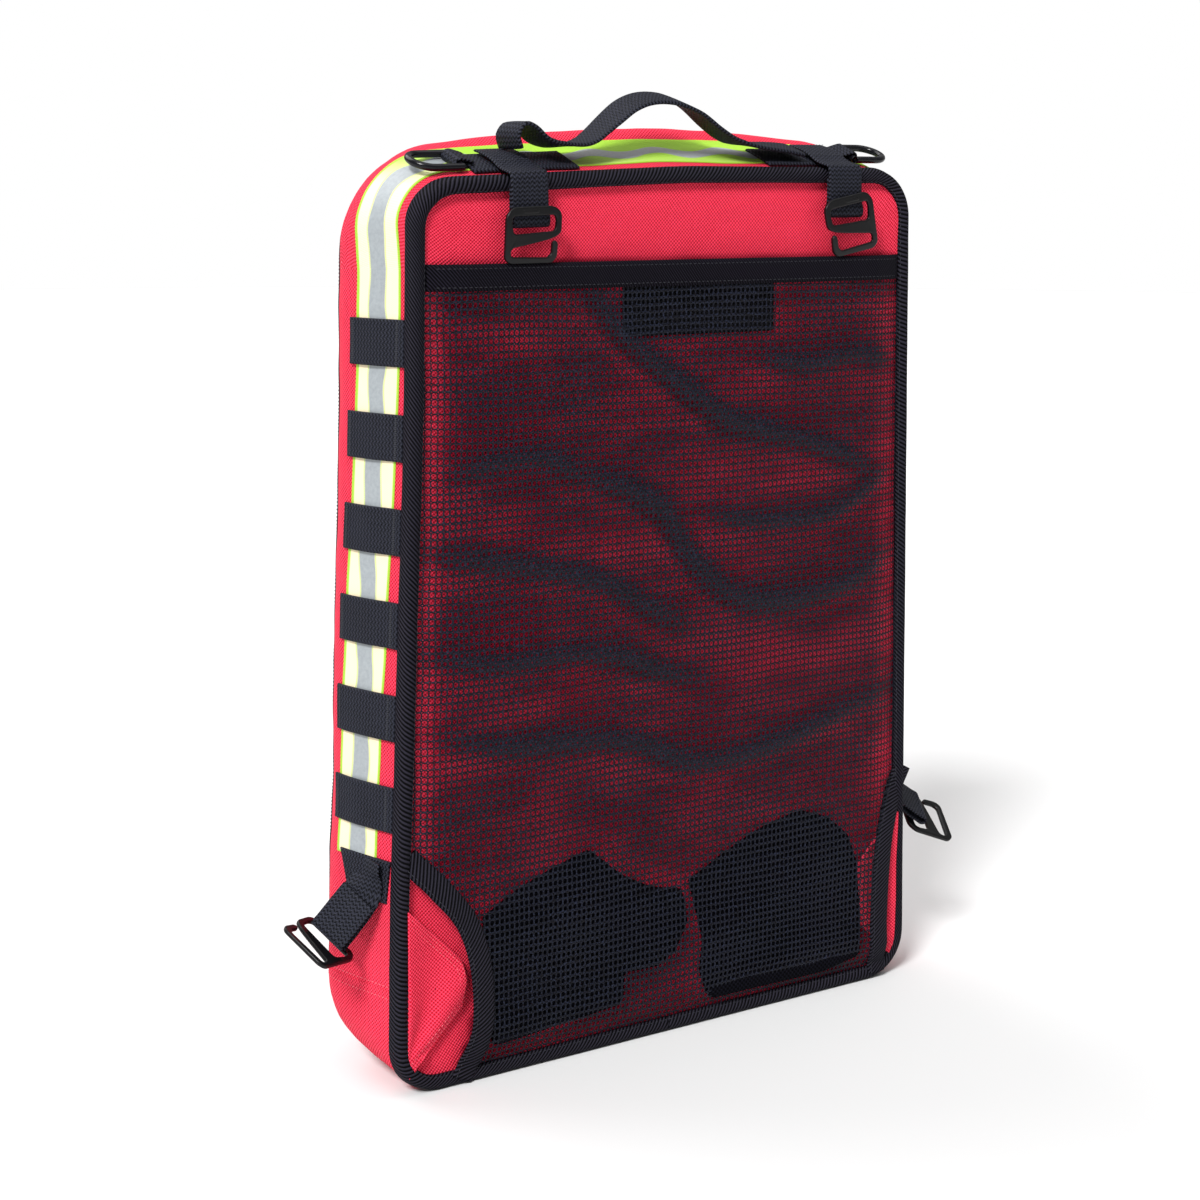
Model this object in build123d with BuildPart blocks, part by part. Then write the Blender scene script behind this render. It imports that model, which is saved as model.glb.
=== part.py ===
from build123d import *
import os
from math import atan2, cos, degrees, hypot, radians, sin

os.makedirs("parts", exist_ok=True)

# ---------------------------------------------------------------- driving sizes (mm)
# +Z is up, the harness side (rear panel) faces -Y, the lid opens towards +Y, and the
# origin is the middle of the flat base. "depth" is measured from the rear panel's outer face.
REAR_Y = -40.0          # where depth 0 lies on Y
BASE_W, TOP_W = 362.0, 345.0   # rear panel width at its foot and at its head
FOOT_Z, HEAD_Z = 2.4, 507.0    # rear panel's lower and upper edge
WALL = 3.0              # padded gusset wall
WEBBING = 25.4          # one-inch webbing, used for bars, straps and handle
PITCH = 50.8            # bar rows repeat every two inches
BAR_TOP = 428.6         # top edge of the highest bar
BARS = 6
TAPE_IN, TAPE_OUT = 14.0, 46.0  # high-visibility tape, over the depth
BIND = 9.5              # width of the edge binding seen from behind
HEM_LOW, HEM_HIGH = 444.0, 458.0
POCKET = 9.0            # how far the mesh pocket stands off the rear panel
ZIP_D = 75.0            # the zip runs round the body at this depth
HINGE_Z, HINGE_D = 32.0, 97.0   # fabric hinge of the lid, low on the front
LID_D = 100.0           # depth of the front face

# Body profile: depth, outward bulge at the sides, at the top, lowest z, corner radius.
PROFILE = [
    (0.0, 0.0, 0.0, FOOT_Z, 26.0),
    (14.0, 4.0, 6.0, 0.0, 32.0),
    (30.0, 8.5, 12.0, 0.0, 40.0),
    (46.0, 12.5, 17.0, 0.0, 48.0),
    (54.0, 13.5, 18.5, 0.0, 52.0),
    (60.0, 12.5, 18.0, 0.0, 54.0),
    (68.0, 8.0, 14.0, 2.0, 55.0),
    (ZIP_D, 2.5, 8.0, 6.0, 55.0),
    (82.0, -4.0, 1.0, 11.0, 54.0),
    (90.0, -13.0, -9.0, 18.0, 51.0),
    (96.0, -24.0, -21.0, 28.0, 45.0),
    (LID_D, -45.0, -45.0, 46.0, 32.0),
]


# ---------------------------------------------------------------- helpers
def y_of(depth):
    return REAR_Y + depth


def across(depth):
    """Plane standing across the depth, with local x = X and local y = Z."""
    return Plane(origin=(0, y_of(depth), 0), x_dir=(1, 0, 0), z_dir=(0, -1, 0))


def profile_at(depth):
    """Side bulge, top bulge, lowest z and corner radius at any depth."""
    for a, b in zip(PROFILE, PROFILE[1:]):
        if a[0] <= depth <= b[0]:
            t = (depth - a[0]) / (b[0] - a[0])
            return tuple(p + (q - p) * t for p, q in zip(a[1:], b[1:]))
    return PROFILE[-1][1:] if depth > 0 else PROFILE[0][1:]


def half_width(z, side=0.0):
    t = (z - FOOT_Z) / (HEAD_Z - FOOT_Z)
    return (BASE_W + (TOP_W - BASE_W) * t) / 2 + side


def outline(depth, side, top, low, radius, grow=0.0):
    """Rounded, slightly tapered outline of the pack at one depth."""
    z0, z1 = low - grow, HEAD_Z + top + grow
    with BuildSketch(across(depth)) as s:
        with BuildLine():
            w0, w1 = half_width(z0, side + grow), half_width(z1, side + grow)
            Polyline((-w0, z0), (w0, z0), (w1, z1), (-w1, z1), close=True)
        make_face()
        fillet(s.vertices(), max(6.0, radius + min(grow, 0)))
    return s.sketch


def body_loft(grow=0.0, shorten=0.0):
    """The stuffed body as one solid, grown outward by grow and cut short at the front."""
    with BuildPart() as p:
        loft([outline(depth - shorten * depth / LID_D, side, top, low, radius, grow)
              for depth, side, top, low, radius in PROFILE], ruled=True)
    return p.part


def block(x0, x1, d0, d1, z0, z1):
    return Pos((x0 + x1) / 2, y_of((d0 + d1) / 2), (z0 + z1) / 2) * Box(x1 - x0, d1 - d0, z1 - z0)


def flat_ring(d0, d1, outer, inner, corner=26.0):
    """Ring that follows the rear panel's outline between two depths."""
    with BuildPart() as p:
        extrude(outline(d1, 0, 0, FOOT_Z, corner, outer), amount=d1 - d0)
        extrude(outline(d1, 0, 0, FOOT_Z, corner, inner), amount=d1 - d0, mode=Mode.SUBTRACT)
    return p.part


def plate(points, d0, d1, radius=0.0):
    """Flat sheet parallel to the rear panel, cut to a polygon of (x, z) points."""
    with BuildPart() as p:
        with BuildSketch(across(d1)) as s:
            with BuildLine():
                Polyline(*points, close=True)
            make_face()
            if radius:
                fillet(s.vertices(), radius)
        extrude(amount=d1 - d0)
    return p.part


def node(label, *shapes):
    """One physical piece: joins the shapes given, labels the piece and writes its file."""
    with BuildPart() as piece:
        for s in shapes:
            add(s)
    piece.part.label = label
    export_step(piece.part, f"parts/{label}.step")
    return piece.part


# ---------------------------------------------------------------- body shell
OUTER = body_loft()
INNER = body_loft(-WALL, WALL)
SHELL = OUTER - INNER
FAR = 400.0
LOW_CUT, HIGH_CUT = 58.0, 455.0

node("rear_cover", OUTER & block(-FAR, FAR, -1, WALL, -10, 600))
GUSSET = SHELL & block(-FAR, FAR, WALL, ZIP_D, -10, 600)
node("gusset_left", GUSSET & block(-FAR, 0, 0, ZIP_D, LOW_CUT, HIGH_CUT))
node("gusset_right", GUSSET & block(0, FAR, 0, ZIP_D, LOW_CUT, HIGH_CUT))
node("gusset_top", GUSSET & block(-FAR, FAR, 0, ZIP_D, HIGH_CUT, 600))
FRONT = SHELL & block(-FAR, FAR, ZIP_D, LID_D + 1, -10, 600)
node("gusset_base", GUSSET & block(-FAR, FAR, 0, ZIP_D, -10, LOW_CUT),
     FRONT & block(-FAR, FAR, ZIP_D, LID_D + 1, -10, HINGE_Z))
node("lid_cover", SHELL & block(-FAR, FAR, ZIP_D + 0.15, LID_D + 1, HINGE_Z + 0.15, 600))


# ---------------------------------------------------------------- rear wall, inside
def inset_panel(d0, d1, gap):
    """Sheet that fills the inside of the body wall between two depths."""
    return body_loft(-WALL - gap, WALL) & block(-FAR, FAR, d0, d1, -10, 600)


node("rear_foam", inset_panel(3.05, 8.0, 0.4))
node("frame_sheet", inset_panel(8.1, 10.1, 9.0))
node("rear_lining", inset_panel(10.2, 11.7, 0.4))

# Two padded shelves split the inside into three compartments.
for label, z in (("shelf_lower", 172.0), ("shelf_upper", 336.0)):
    w = half_width(z, -WALL - 0.6)
    node(label, block(-w, w, 11.9, 70.0, z, z + 6.0))
# Elastic keepers and a flat pouch on the lining, empty and lying flat.
node("lining_elastic", *[block(-140, 140, 11.75, 13.2, z, z + 38.0) for z in (80.0, 240.0, 400.0)])

# ---------------------------------------------------------------- edge binding, rear
LIP = flat_ring(0.0, 6.0, 2.2, 0.0) - OUTER
node("edge_binding", flat_ring(-4.2, 0.0, 2.2, -BIND), LIP)

# ---------------------------------------------------------------- mesh pocket
DISH = [(-0.1, BIND + 0.2, 18.0), (-4.0, 14.0, 17.0), (-7.0, 20.0, 16.0), (-POCKET, 28.0, 14.0)]


def dish(grow):
    """Solid under the pocket sheet: flat in the middle, sloping to the panel's edge."""
    first = outline(0.0, 0, 0, FOOT_Z, 18.0, -DISH[0][1] + grow)
    rest = [outline(depth - grow, 0, 0, FOOT_Z, radius, -inset) for depth, inset, radius in DISH[1:]]
    with BuildPart() as p:
        loft([first] + rest, ruled=True)
    return p.part


def dish_skin(outer, inner):
    """Skin of the pocket between two offsets, clear of the rear panel."""
    return (dish(outer) - dish(inner)) & block(-FAR, FAR, -30, -0.05, -10, 600)


POCKET_SKIN = dish_skin(0.8, 0.0)
THICK_SKIN = dish_skin(1.8, -0.6)
HEM_BAND = block(-FAR, FAR, -30, 1, HEM_LOW, HEM_HIGH)
BELOW_HEM = block(-FAR, FAR, -30, 1, -10, HEM_LOW)
# The pocket's lower corners are cut back on a curve, bound with black tape.
CURVE = [(-190.0, 143.0), (-170.6, 139.8), (-152.0, 119.6), (-136.5, 99.4), (-128.3, 74.6),
         (-126.0, 44.9), (-130.0, 24.0), (-137.0, 8.0), (-142.0, -4.0)]
CORNER_TAPE = 13.0


def corner_region(side, shift):
    """Everything outside the corner curve, moved towards the corner by shift."""
    k = shift / hypot(1, 0.9)
    pts = [(side * (x - k), z - 0.9 * k) for x, z in CURVE]
    pts += [(side * -260.0, -40.0), (side * -260.0, pts[0][1])]
    return plate(pts, -30.0, 1.0)


CORNERS = {s: (corner_region(s, 0.0), corner_region(s, CORNER_TAPE)) for s in (1, -1)}
BINDING_GUARD = flat_ring(-4.4, 0.5, 2.4, -BIND - 0.1)
mesh = POCKET_SKIN & BELOW_HEM
for s in (1, -1):
    mesh = mesh - CORNERS[s][0]
node("mesh_pocket", mesh - BINDING_GUARD)
node("pocket_hem", (THICK_SKIN & HEM_BAND) - BINDING_GUARD)
for s, side in ((1, "left"), (-1, "right")):
    band = (THICK_SKIN & CORNERS[s][0]) - CORNERS[s][1]
    node(f"corner_binding_{side}", (band & block(-FAR, FAR, -30, 1, -10, 300)) - BINDING_GUARD)
    flap = [(s * -166.0, 98.0), (s * -140.5, 72.0), (s * -138.0, 61.0), (s * -140.5, 45.0),
            (s * -166.0, 19.0)]
    node(f"corner_flap_{side}", plate(flap, -1.7, -0.05, 1.5))

# Hook-and-loop patch on the panel and the harness that is stowed in the pocket.
node("loop_patch", block(-34.8, 73.2, -1.5, -0.05, 415.0, 444.0))
STOWED = {
    "left": [(-125.0, 100.0), (-94.0, 109.0), (-54.0, 121.0), (-30.0, 98.0), (8.0, 89.0),
             (4.0, 67.0), (-11.0, 45.0), (-31.0, 45.0), (-33.0, 31.0), (-101.0, 30.0), (-122.0, 30.0)],
    "right": [(14.0, 87.0), (54.0, 98.0), (100.0, 112.0), (121.0, 110.0), (121.0, 74.0),
              (119.0, 40.0), (126.0, 30.0), (102.0, 30.0), (25.0, 31.0), (25.0, 50.0)],
}
for side, pts in STOWED.items():
    node(f"stowed_harness_{side}", plate(pts, -7.3, -0.6, 2.5))


# ---------------------------------------------------------------- tape and webbing bars
def skin(low, high, region):
    """Layer lying on the body between two heights above its surface."""
    return (SKINS[high] - SKINS[low]) & region


SKINS = {0.0: OUTER, 0.7: body_loft(0.7), 2.4: body_loft(2.4)}
TAPE = block(-FAR, FAR, TAPE_IN, TAPE_OUT, -10, 600)
TAPE_LOW = 130.0
node("tape_left", skin(0.0, 0.7, TAPE & block(-FAR, 0, 0, 99, TAPE_LOW, HIGH_CUT)))
node("tape_right", skin(0.0, 0.7, TAPE & block(0, FAR, 0, 99, TAPE_LOW, HIGH_CUT)))
node("tape_top", skin(0.0, 0.7, TAPE & block(-FAR, FAR, 0, 99, HIGH_CUT, 600)))
for side, x0, x1 in (("left", -FAR, 0), ("right", 0, FAR)):
    node(f"bars_{side}", *[
        skin(0.7, 2.4, block(x0, x1, 6.5, 51.0, BAR_TOP - PITCH * k - WEBBING, BAR_TOP - PITCH * k))
        for k in range(BARS)])

# ---------------------------------------------------------------- zip
ZIP_LOW = HINGE_Z + 8.0
node("zip_tape_body", skin(0.0, 0.7, block(-FAR, FAR, 66.0, ZIP_D - 0.1, ZIP_LOW, 600)))
node("zip_tape_lid", skin(0.0, 0.7, block(-FAR, FAR, ZIP_D + 0.25, 84.0, ZIP_LOW, 600)))

SLIDE_TILT = degrees(atan2(7.0, 7.0))


def on_zip(x):
    """Frame on the top stretch of the zip: local x along it, local z out of the pack."""
    z = HEAD_Z + profile_at(ZIP_D)[1] + 0.7
    return Pos(x, y_of(ZIP_D), z) * Rot(-SLIDE_TILT, 0, 0)


for side, x in (("left", -11.0), ("right", 11.0)):
    with BuildPart() as slider:
        with BuildSketch(Plane.XY.offset(0.9)) as s:
            Rectangle(9.0, 8.0)
            fillet(s.vertices(), 2.0)
        extrude(amount=2.2)
        with BuildSketch(Plane.YZ.offset(-1.2)):
            with BuildLine():
                Polyline((-3.0, 3.1), (-3.0, 5.7), (3.0, 5.7), (3.0, 3.1), (1.9, 3.1), (1.9, 4.6),
                         (-1.9, 4.6), (-1.9, 3.1), close=True)
            make_face()
        extrude(amount=2.4)
    node(f"zip_slider_{side}", on_zip(x) * slider.part)
    with BuildPart() as pull:
        with BuildSketch(Plane.XY.offset(3.35)) as s:
            with Locations((0, 14.0)):
                Rectangle(6.4, 29.0)
            fillet(s.vertices(), 0.45)
            with Locations((0, 2.45)):
                Rectangle(3.4, 3.9, mode=Mode.SUBTRACT)
        extrude(amount=1.0)
    node(f"zip_pull_{side}", on_zip(x) * pull.part)

# ---------------------------------------------------------------- inside of the lid
node("lid_pocket", block(-125, 125, 88.0, 96.95, 60, 250) - block(-123.8, 123.8, 89.2, 97.5, 61.2, 251))
node("lid_elastic", block(-118, 118, 95.4, 96.95, 300, 340), block(-118, 118, 95.4, 96.95, 380, 420))
# Plain front: a loop panel for an identity sign, a band of tape and two rows of webbing.
node("front_loop_panel", block(-75, 75, LID_D + 0.02, LID_D + 1.4, 320, 420))
node("front_tape", block(-128, 128, LID_D + 0.02, LID_D + 0.8, 254, 286))
node("front_webbing", *[block(-124, 124, LID_D + 0.02, LID_D + 1.9, z, z + WEBBING)
                        for z in (96.0, 96.0 + PITCH, 96.0 + 2 * PITCH)])

# ---------------------------------------------------------------- G-hooks and their straps
BAR_Z, BAR_Y = -9.7, 5.0    # the recessed webbing bar, from the hook's top and mid-plane
PLATE_T = 2.4


def g_hook():
    """Stamped hook: shouldered plate, webbing slot with a bar set behind it, open gate."""
    with BuildPart() as p:
        with BuildSketch(Plane.XZ.offset(-PLATE_T / 2)) as s:
            with BuildLine():
                FilletPolyline(
                    (-12.5, 0), (10, 0), (18.6, -4.6), (17.8, -14.6), (10.2, -16.6), (5.2, -21.4),
                    (-3, -24.4), (-14.6, -25.4), (-14.6, -30.1), (8.2, -30.1), (10.8, -27.4),
                    (10.8, -20.6), (15.2, -20.6), (15.2, -30.0), (11.2, -34.0), (-18.6, -34.0),
                    (-18.2, -5.6), radius=1.25, close=True)
            make_face()
            with Locations((0.2, -9.75)):
                SlotOverall(26.2, 6.9, mode=Mode.SUBTRACT)
        extrude(amount=PLATE_T)
        for x in (-14.9, 14.9):
            with Locations((x, BAR_Y / 2 + 0.8, BAR_Z)):
                Box(2.4, BAR_Y + 1.6, 3.6)
        with Locations(Pos(0, BAR_Y, BAR_Z) * Rot(0, 90, 0)):
            Cylinder(1.6, 30.0)
    return p.part


STRAP_T, STRAP_LEAN = 3.0, 0.6   # sewn webbing, and how far it lies behind the bar's line


def hook_strap(length):
    """Doubled webbing that loops round the hook's bar and runs up to its sewn end."""
    w, mid, half = WEBBING - 0.6, BAR_Y + STRAP_LEAN, STRAP_T / 2
    with BuildPart() as p:
        with BuildSketch(Plane.YZ.offset(-w / 2)):
            with Locations((BAR_Y, BAR_Z)):
                Circle(3.05)
            with BuildLine():
                Polyline((BAR_Y - 3.05, BAR_Z), (BAR_Y + 3.05, BAR_Z), (BAR_Y + 3.05, BAR_Z + 3.0),
                         (mid + half, BAR_Z + 7.0), (mid + half, BAR_Z + length),
                         (mid - half, BAR_Z + length), (mid - half, BAR_Z + 7.0),
                         close=True)
            make_face()
            with Locations((mid, BAR_Z + length)):
                Circle(half)
            with Locations((BAR_Y, BAR_Z)):
                Circle(1.66, mode=Mode.SUBTRACT)
        extrude(amount=w)
    return p.part


HOOK, UPPER_D = g_hook(), -12.0
UPPER = {"left": (-106.0, HEAD_Z - 19.5), "right": (120.0, HEAD_Z - 13.0)}  # x, hook's top
SEAM_Z = HEAD_Z + 2.6   # the strap bends here, in front of the binding
for side, (x, top) in UPPER.items():
    place = Pos(x, y_of(UPPER_D), top)
    node(f"upper_hook_{side}", place * (HOOK if side == "left" else HOOK.mirror(Plane.YZ)))
    node(f"upper_strap_{side}", place * hook_strap(SEAM_Z - top - BAR_Z))
    # Fixed end of the strap: folds over the binding and is sewn to the head of the pack.
    with BuildPart() as root:
        with BuildSketch(Plane.YZ.offset(x - 12.4)):
            with BuildLine():
                Polyline(*[(y_of(d), HEAD_Z + z) for d, z in (
                    (-7.9, 4.4), (-4.9, 4.4), (-4.4, 3.0), (6.4, 5.2), (14.0, 10.2), (30.0, 16.4),
                    (30.0, 18.9), (13.0, 12.9), (5.0, 8.0), (-4.5, 6.4), (-6.5, 6.8),
                    (-7.9, 6.2))], close=True)
            make_face()
        extrude(amount=24.8)
    node(f"upper_root_{side}", root.part)

# Lower straps leave the gusset through a sewn patch. They are set on the slant, so that they
# point down and out, and each hook hangs in its webbing loop with its plate on the pack's side.
LOWER_Z, LOWER_LEN = 113.0, 27.0
SWING = {"left": 26.0, "right": 48.0}     # strap, from straight down outwards
HOOK_TURN = {"left": 74.0, "right": 16.0}  # hook, from the strap's line outwards
for side, s in (("left", -1), ("right", 1)):
    slant = Vector(-s * 0.34, -0.80, -0.495).normalized()
    down = (Vector(0, 0, -1) - slant * Vector(0, 0, -1).dot(slant)).normalized()
    outward = slant.cross(down) * s
    a = radians(SWING[side])
    drop = down * cos(a) + outward * sin(a)
    root = Vector(s * (half_width(LOWER_Z) + 5.6 + 7.6), y_of(20.0), LOWER_Z)
    facing = Plane(origin=root, x_dir=slant * s, z_dir=drop * -1)
    place = facing.location * Pos(0, -BAR_Y - STRAP_LEAN, -BAR_Z - LOWER_LEN)
    turn = Pos(0, BAR_Y, BAR_Z) * Rot(HOOK_TURN[side], 0, 0) * Pos(0, -BAR_Y, -BAR_Z)
    hook = HOOK if side == "left" else HOOK.mirror(Plane.YZ)
    node(f"lower_hook_{side}", place * turn * hook)
    node(f"lower_strap_{side}", place * hook_strap(LOWER_LEN))
    x0, x1 = (-FAR, 0) if s < 0 else (0, FAR)
    patch = block(x0, x1, 8.0, 40.0, LOWER_Z - 10.0, LOWER_Z + 16.0)
    node(f"lower_patch_{side}", skin(0.0, 2.4, patch))


# ---------------------------------------------------------------- handle and its sewn ends
def ribbon(path, widths, thick, depth=20.0, rise=0.0):
    """Webbing along (x, z) points, wide across the pack, lofted through upright sections."""
    with BuildPart() as p:
        for i, ((x, z), w) in enumerate(zip(path, widths)):
            a = path[max(i - 1, 0)]
            b = path[min(i + 1, len(path) - 1)]
            run = Vector(b[0] - a[0], 0, b[1] - a[1]).normalized()
            with BuildSketch(Plane(origin=(x, y_of(depth), z + rise), x_dir=(0, 1, 0), z_dir=run)):
                Rectangle(w, thick)
        loft(ruled=True)
    return p.part


ARCH = [(-20.9, 530.9), (-15.0, 537.4), (-8.4, 542.6), (-2.5, 546.6), (4.0, 548.0), (11.0, 547.0),
        (17.5, 544.2), (24.0, 539.8), (31.0, 534.0), (34.3, 531.2)]
node("carry_handle", ribbon(ARCH, [6, 13, 19, 24, 25, 25, 24, 18, 12, 6], 2.4))
LEFT_END = [(-91.2, 521.6), (-92.2, 528.5), (-88.5, 531.6), (-82.0, 529.2), (-75.0, 523.5),
            (-67.0, 520.8), (-50.0, 520.6), (-40.0, 521.8), (-31.0, 525.0), (-22.5, 529.6)]
RIGHT_END = [(35.9, 529.8), (44.0, 525.2), (52.0, 523.0), (68.0, 521.8), (89.4, 521.6), (103.0, 521.4)]
node("handle_end_left", ribbon(LEFT_END, [16, 16, 16, 16, 14, 9, 8, 8, 8, 6], 2.4))
node("handle_end_right", ribbon(RIGHT_END, [6, 8, 8, 9, 12, 14], 2.4))

# Sewn strip under the strap end, reaching sideways to the D-ring's webbing loop.
for side, x0, x1 in (("left", -130.0, -88.0), ("right", 105.0, 136.0)):
    strip = block(x0, x1, 9.0, 33.0, 480, 600)
    node(f"handle_anchor_{side}", skin(0.7, 2.4, strip))

# ---------------------------------------------------------------- D-rings
RING_TILT = degrees(atan2(6.0, 16.0))
RING_R, RING_W, RING_L = 2.1, 21.0, 26.0
RING_X = {-1: -137.0, 1: 143.0}


def ring_frame(s):
    """Local x points away from the pack's middle, local y up the sloping head."""
    lift = HEAD_Z + profile_at(21.0)[1] + 0.7 + RING_R + 0.5
    return Pos(RING_X[s], y_of(21.0), lift) * Rot(RING_TILT, 0, 0)


for side, s in (("left", -1), ("right", 1)):
    with BuildPart() as ring:
        with BuildLine() as wire:
            FilletPolyline((0, -RING_W / 2), (s * RING_L, -RING_W / 2), (s * RING_L, RING_W / 2),
                           (0, RING_W / 2), radius=RING_W / 2 - 0.6, close=False)
            Line((0, RING_W / 2), (0, -RING_W / 2))
        with BuildSketch(Plane(origin=wire.line @ 0, z_dir=wire.line % 0)):
            Circle(RING_R)
        sweep(transition=Transition.ROUND)
    node(f"d_ring_{side}", ring_frame(s) * ring.part)
    # Webbing folded round the ring's straight side and sewn down next to it.
    with BuildPart() as loop:
        with BuildSketch(Plane.XZ.offset(-8.0)):
            Circle(RING_R + 0.06 + 1.5)
            with BuildLine():
                Polyline((0, 3.6), (-s * 4.0, 3.6), (-s * 8.0, 1.2), (-s * 8.0, -1.8),
                         (-s * 4.0, -3.6 + 1.1), (0, -3.6 + 0.9), close=True)
            make_face()
            Circle(RING_R + 0.06, mode=Mode.SUBTRACT)
        extrude(amount=16.0)
    node(f"d_ring_loop_{side}", (ring_frame(s) * loop.part) - SKINS[2.4])
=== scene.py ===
"""Looks of the trauma backpack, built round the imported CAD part.

Lengths are in mm in the row frame unless a name says otherwise: +Z up, the harness side faces
-Y, the lid faces +Y, and the origin is the middle of the flat base."""
import math

import bmesh
import bpy
import numpy as np
from mathutils import Matrix, Vector, noise


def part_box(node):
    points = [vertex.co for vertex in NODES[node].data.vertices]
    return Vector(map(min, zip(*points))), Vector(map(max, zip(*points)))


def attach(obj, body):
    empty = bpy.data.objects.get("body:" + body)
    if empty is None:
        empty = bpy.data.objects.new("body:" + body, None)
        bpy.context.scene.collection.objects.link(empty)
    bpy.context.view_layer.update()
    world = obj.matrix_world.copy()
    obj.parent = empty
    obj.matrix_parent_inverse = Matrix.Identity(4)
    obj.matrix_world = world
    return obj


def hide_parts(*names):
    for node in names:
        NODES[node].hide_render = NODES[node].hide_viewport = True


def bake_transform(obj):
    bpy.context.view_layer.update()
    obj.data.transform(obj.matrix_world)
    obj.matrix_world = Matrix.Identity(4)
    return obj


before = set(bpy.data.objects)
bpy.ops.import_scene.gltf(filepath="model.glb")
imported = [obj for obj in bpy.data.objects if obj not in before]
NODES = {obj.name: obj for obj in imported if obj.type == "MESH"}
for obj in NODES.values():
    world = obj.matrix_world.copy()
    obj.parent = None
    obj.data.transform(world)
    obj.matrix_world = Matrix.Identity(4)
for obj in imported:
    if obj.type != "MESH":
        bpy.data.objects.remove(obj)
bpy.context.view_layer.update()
MM = 0.001

# ---------------------------------------------------------------- sizes shared with the CAD part
REAR_Y = -40.0
BASE_W, TOP_W, FOOT_Z, HEAD_Z = 362.0, 345.0, 2.4, 507.0
WEBBING, PITCH, BAR_TOP, BARS = 25.4, 50.8, 428.6, 6
TAPE_IN, TAPE_OUT, TAPE_LOW = 14.0, 46.0, 130.0
HEM_LOW, HEM_HIGH = 444.0, 458.0
ZIP_D, LID_D, HINGE_Z = 75.0, 100.0, 32.0
LOW_CUT, HIGH_CUT, WALL = 58.0, 455.0, 3.0
PROFILE = np.array([
    (0.0, 0.0, 0.0, FOOT_Z, 26.0), (14.0, 4.0, 6.0, 0.0, 32.0), (30.0, 8.5, 12.0, 0.0, 40.0),
    (46.0, 12.5, 17.0, 0.0, 48.0), (54.0, 13.5, 18.5, 0.0, 52.0), (60.0, 12.5, 18.0, 0.0, 54.0),
    (68.0, 8.0, 14.0, 2.0, 55.0), (ZIP_D, 2.5, 8.0, 6.0, 55.0), (82.0, -4.0, 1.0, 11.0, 54.0),
    (90.0, -13.0, -9.0, 18.0, 51.0), (96.0, -24.0, -21.0, 28.0, 45.0),
    (LID_D, -45.0, -45.0, 46.0, 32.0)])  # depth, side bulge, top bulge, lowest z, corner radius

# ---------------------------------------------------------------- how the standing pack leans
LEAN_IN = ([0, 110, 170, 220, 280, 335, 390], [0.8, 1.2, 3.0, 4.2, 5.6, 7.2, 8.2])  # z, left wall's way in
LEAN_MIDDLE, LEAN_FRONT = 125.0, 0.35  # the lean starts to fade here from the wall; its loss at the front
HEAD_DROP, DROP_START, DROP_REACH, DROP_LOW, DROP_RISE = 6.5, 12.0, 162.0, 450.0, 55.0
FLOOR_GAP = 0.05


# ---------------------------------------------------------------- node materials
def plug(tree, n, **inputs):
    """Fills a node's inputs. One named i0, i1 is by index; a socket as value is linked."""
    for key, value in inputs.items():
        by_index = key[0] == "i" and key[1:].isdigit()
        socket = n.inputs[int(key[1:])] if by_index else n.inputs[key.replace("_", " ")]
        if isinstance(value, bpy.types.NodeSocket):
            tree.links.new(value, socket)
        else:
            socket.default_value = value


def node(tree, kind, props=None, **inputs):
    n = tree.nodes.new("ShaderNode" + kind)
    for key, value in (props or {}).items():
        setattr(n, key, value)
    plug(tree, n, **inputs)
    return n


def calc(operation, a, b=0.0, clamp=False):
    """Maths node on two values, at least one of them a socket."""
    tree = (a if isinstance(a, bpy.types.NodeSocket) else b).id_data
    return node(tree, "Math", {"operation": operation, "use_clamp": clamp}, i0=a, i1=b).outputs[0]


def add(a, b):
    return calc("ADD", a, b)


def minus(a, b):
    return calc("SUBTRACT", a, b)


def times(a, b):
    return calc("MULTIPLY", a, b)


def mix(factor, a, b):
    colours = {slot: c if isinstance(c, bpy.types.NodeSocket) else (*c, 1)
               for slot, c in (("i6", a), ("i7", b))}
    return node(factor.id_data, "Mix", {"data_type": "RGBA"}, i0=factor, **colours).outputs[2]


def ramp(value, low, high, props=None):
    """0 to 1 as a value goes from low to high."""
    return node(value.id_data, "MapRange", props, Value=value, From_Min=low, From_Max=high).outputs[0]


def sine(value, pitch):
    """Sine of a length in mm over a pitch in mm."""
    return calc("SINE", times(value, 2 * math.pi / pitch))


def share(value):
    """-1 to 1 as 0 to 1."""
    return add(times(value, 0.5), 0.5)


def bump(tree, strength, distance, height, **more):
    return node(tree, "Bump", None, Strength=strength, Distance=distance, Height=height, **more).outputs[0]


def new_material(name):
    material = bpy.data.materials.new(name)
    material.use_nodes = True
    tree = material.node_tree
    tree.nodes.clear()
    shader = node(tree, "BsdfPrincipled")
    tree.links.new(shader.outputs[0], node(tree, "OutputMaterial").inputs[0])
    return material, tree, shader


def uv_mm(tree):
    """Lengths in mm along a piece (u) and across it (v)."""
    split = node(tree, "SeparateXYZ", Vector=node(tree, "UVMap", {"uv_map": "UVMap"}).outputs[0])
    return split.outputs[0], split.outputs[1]


def place_noise(tree, size, detail=3.0, rough=0.55):
    """Noise in the object's own space, whose lumps are about size mm."""
    return node(tree, "TexNoise", None, Vector=node(tree, "TexCoord").outputs["Object"],
                Scale=1000.0 / size, Detail=detail, Roughness=rough).outputs[0]


def weave_plain(u, v, pitch):
    return share(times(sine(u, pitch), sine(v, pitch)))


def weave_ribs(u, v, pitch):
    """Webbing: ribs across the width, broken into narrow chevron columns."""
    rib = calc("SINE", add(times(u, 2 * math.pi / pitch), times(sine(v, 3.2), 1.5)))
    return share(times(rib, share(sine(v, 1.6))))


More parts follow.
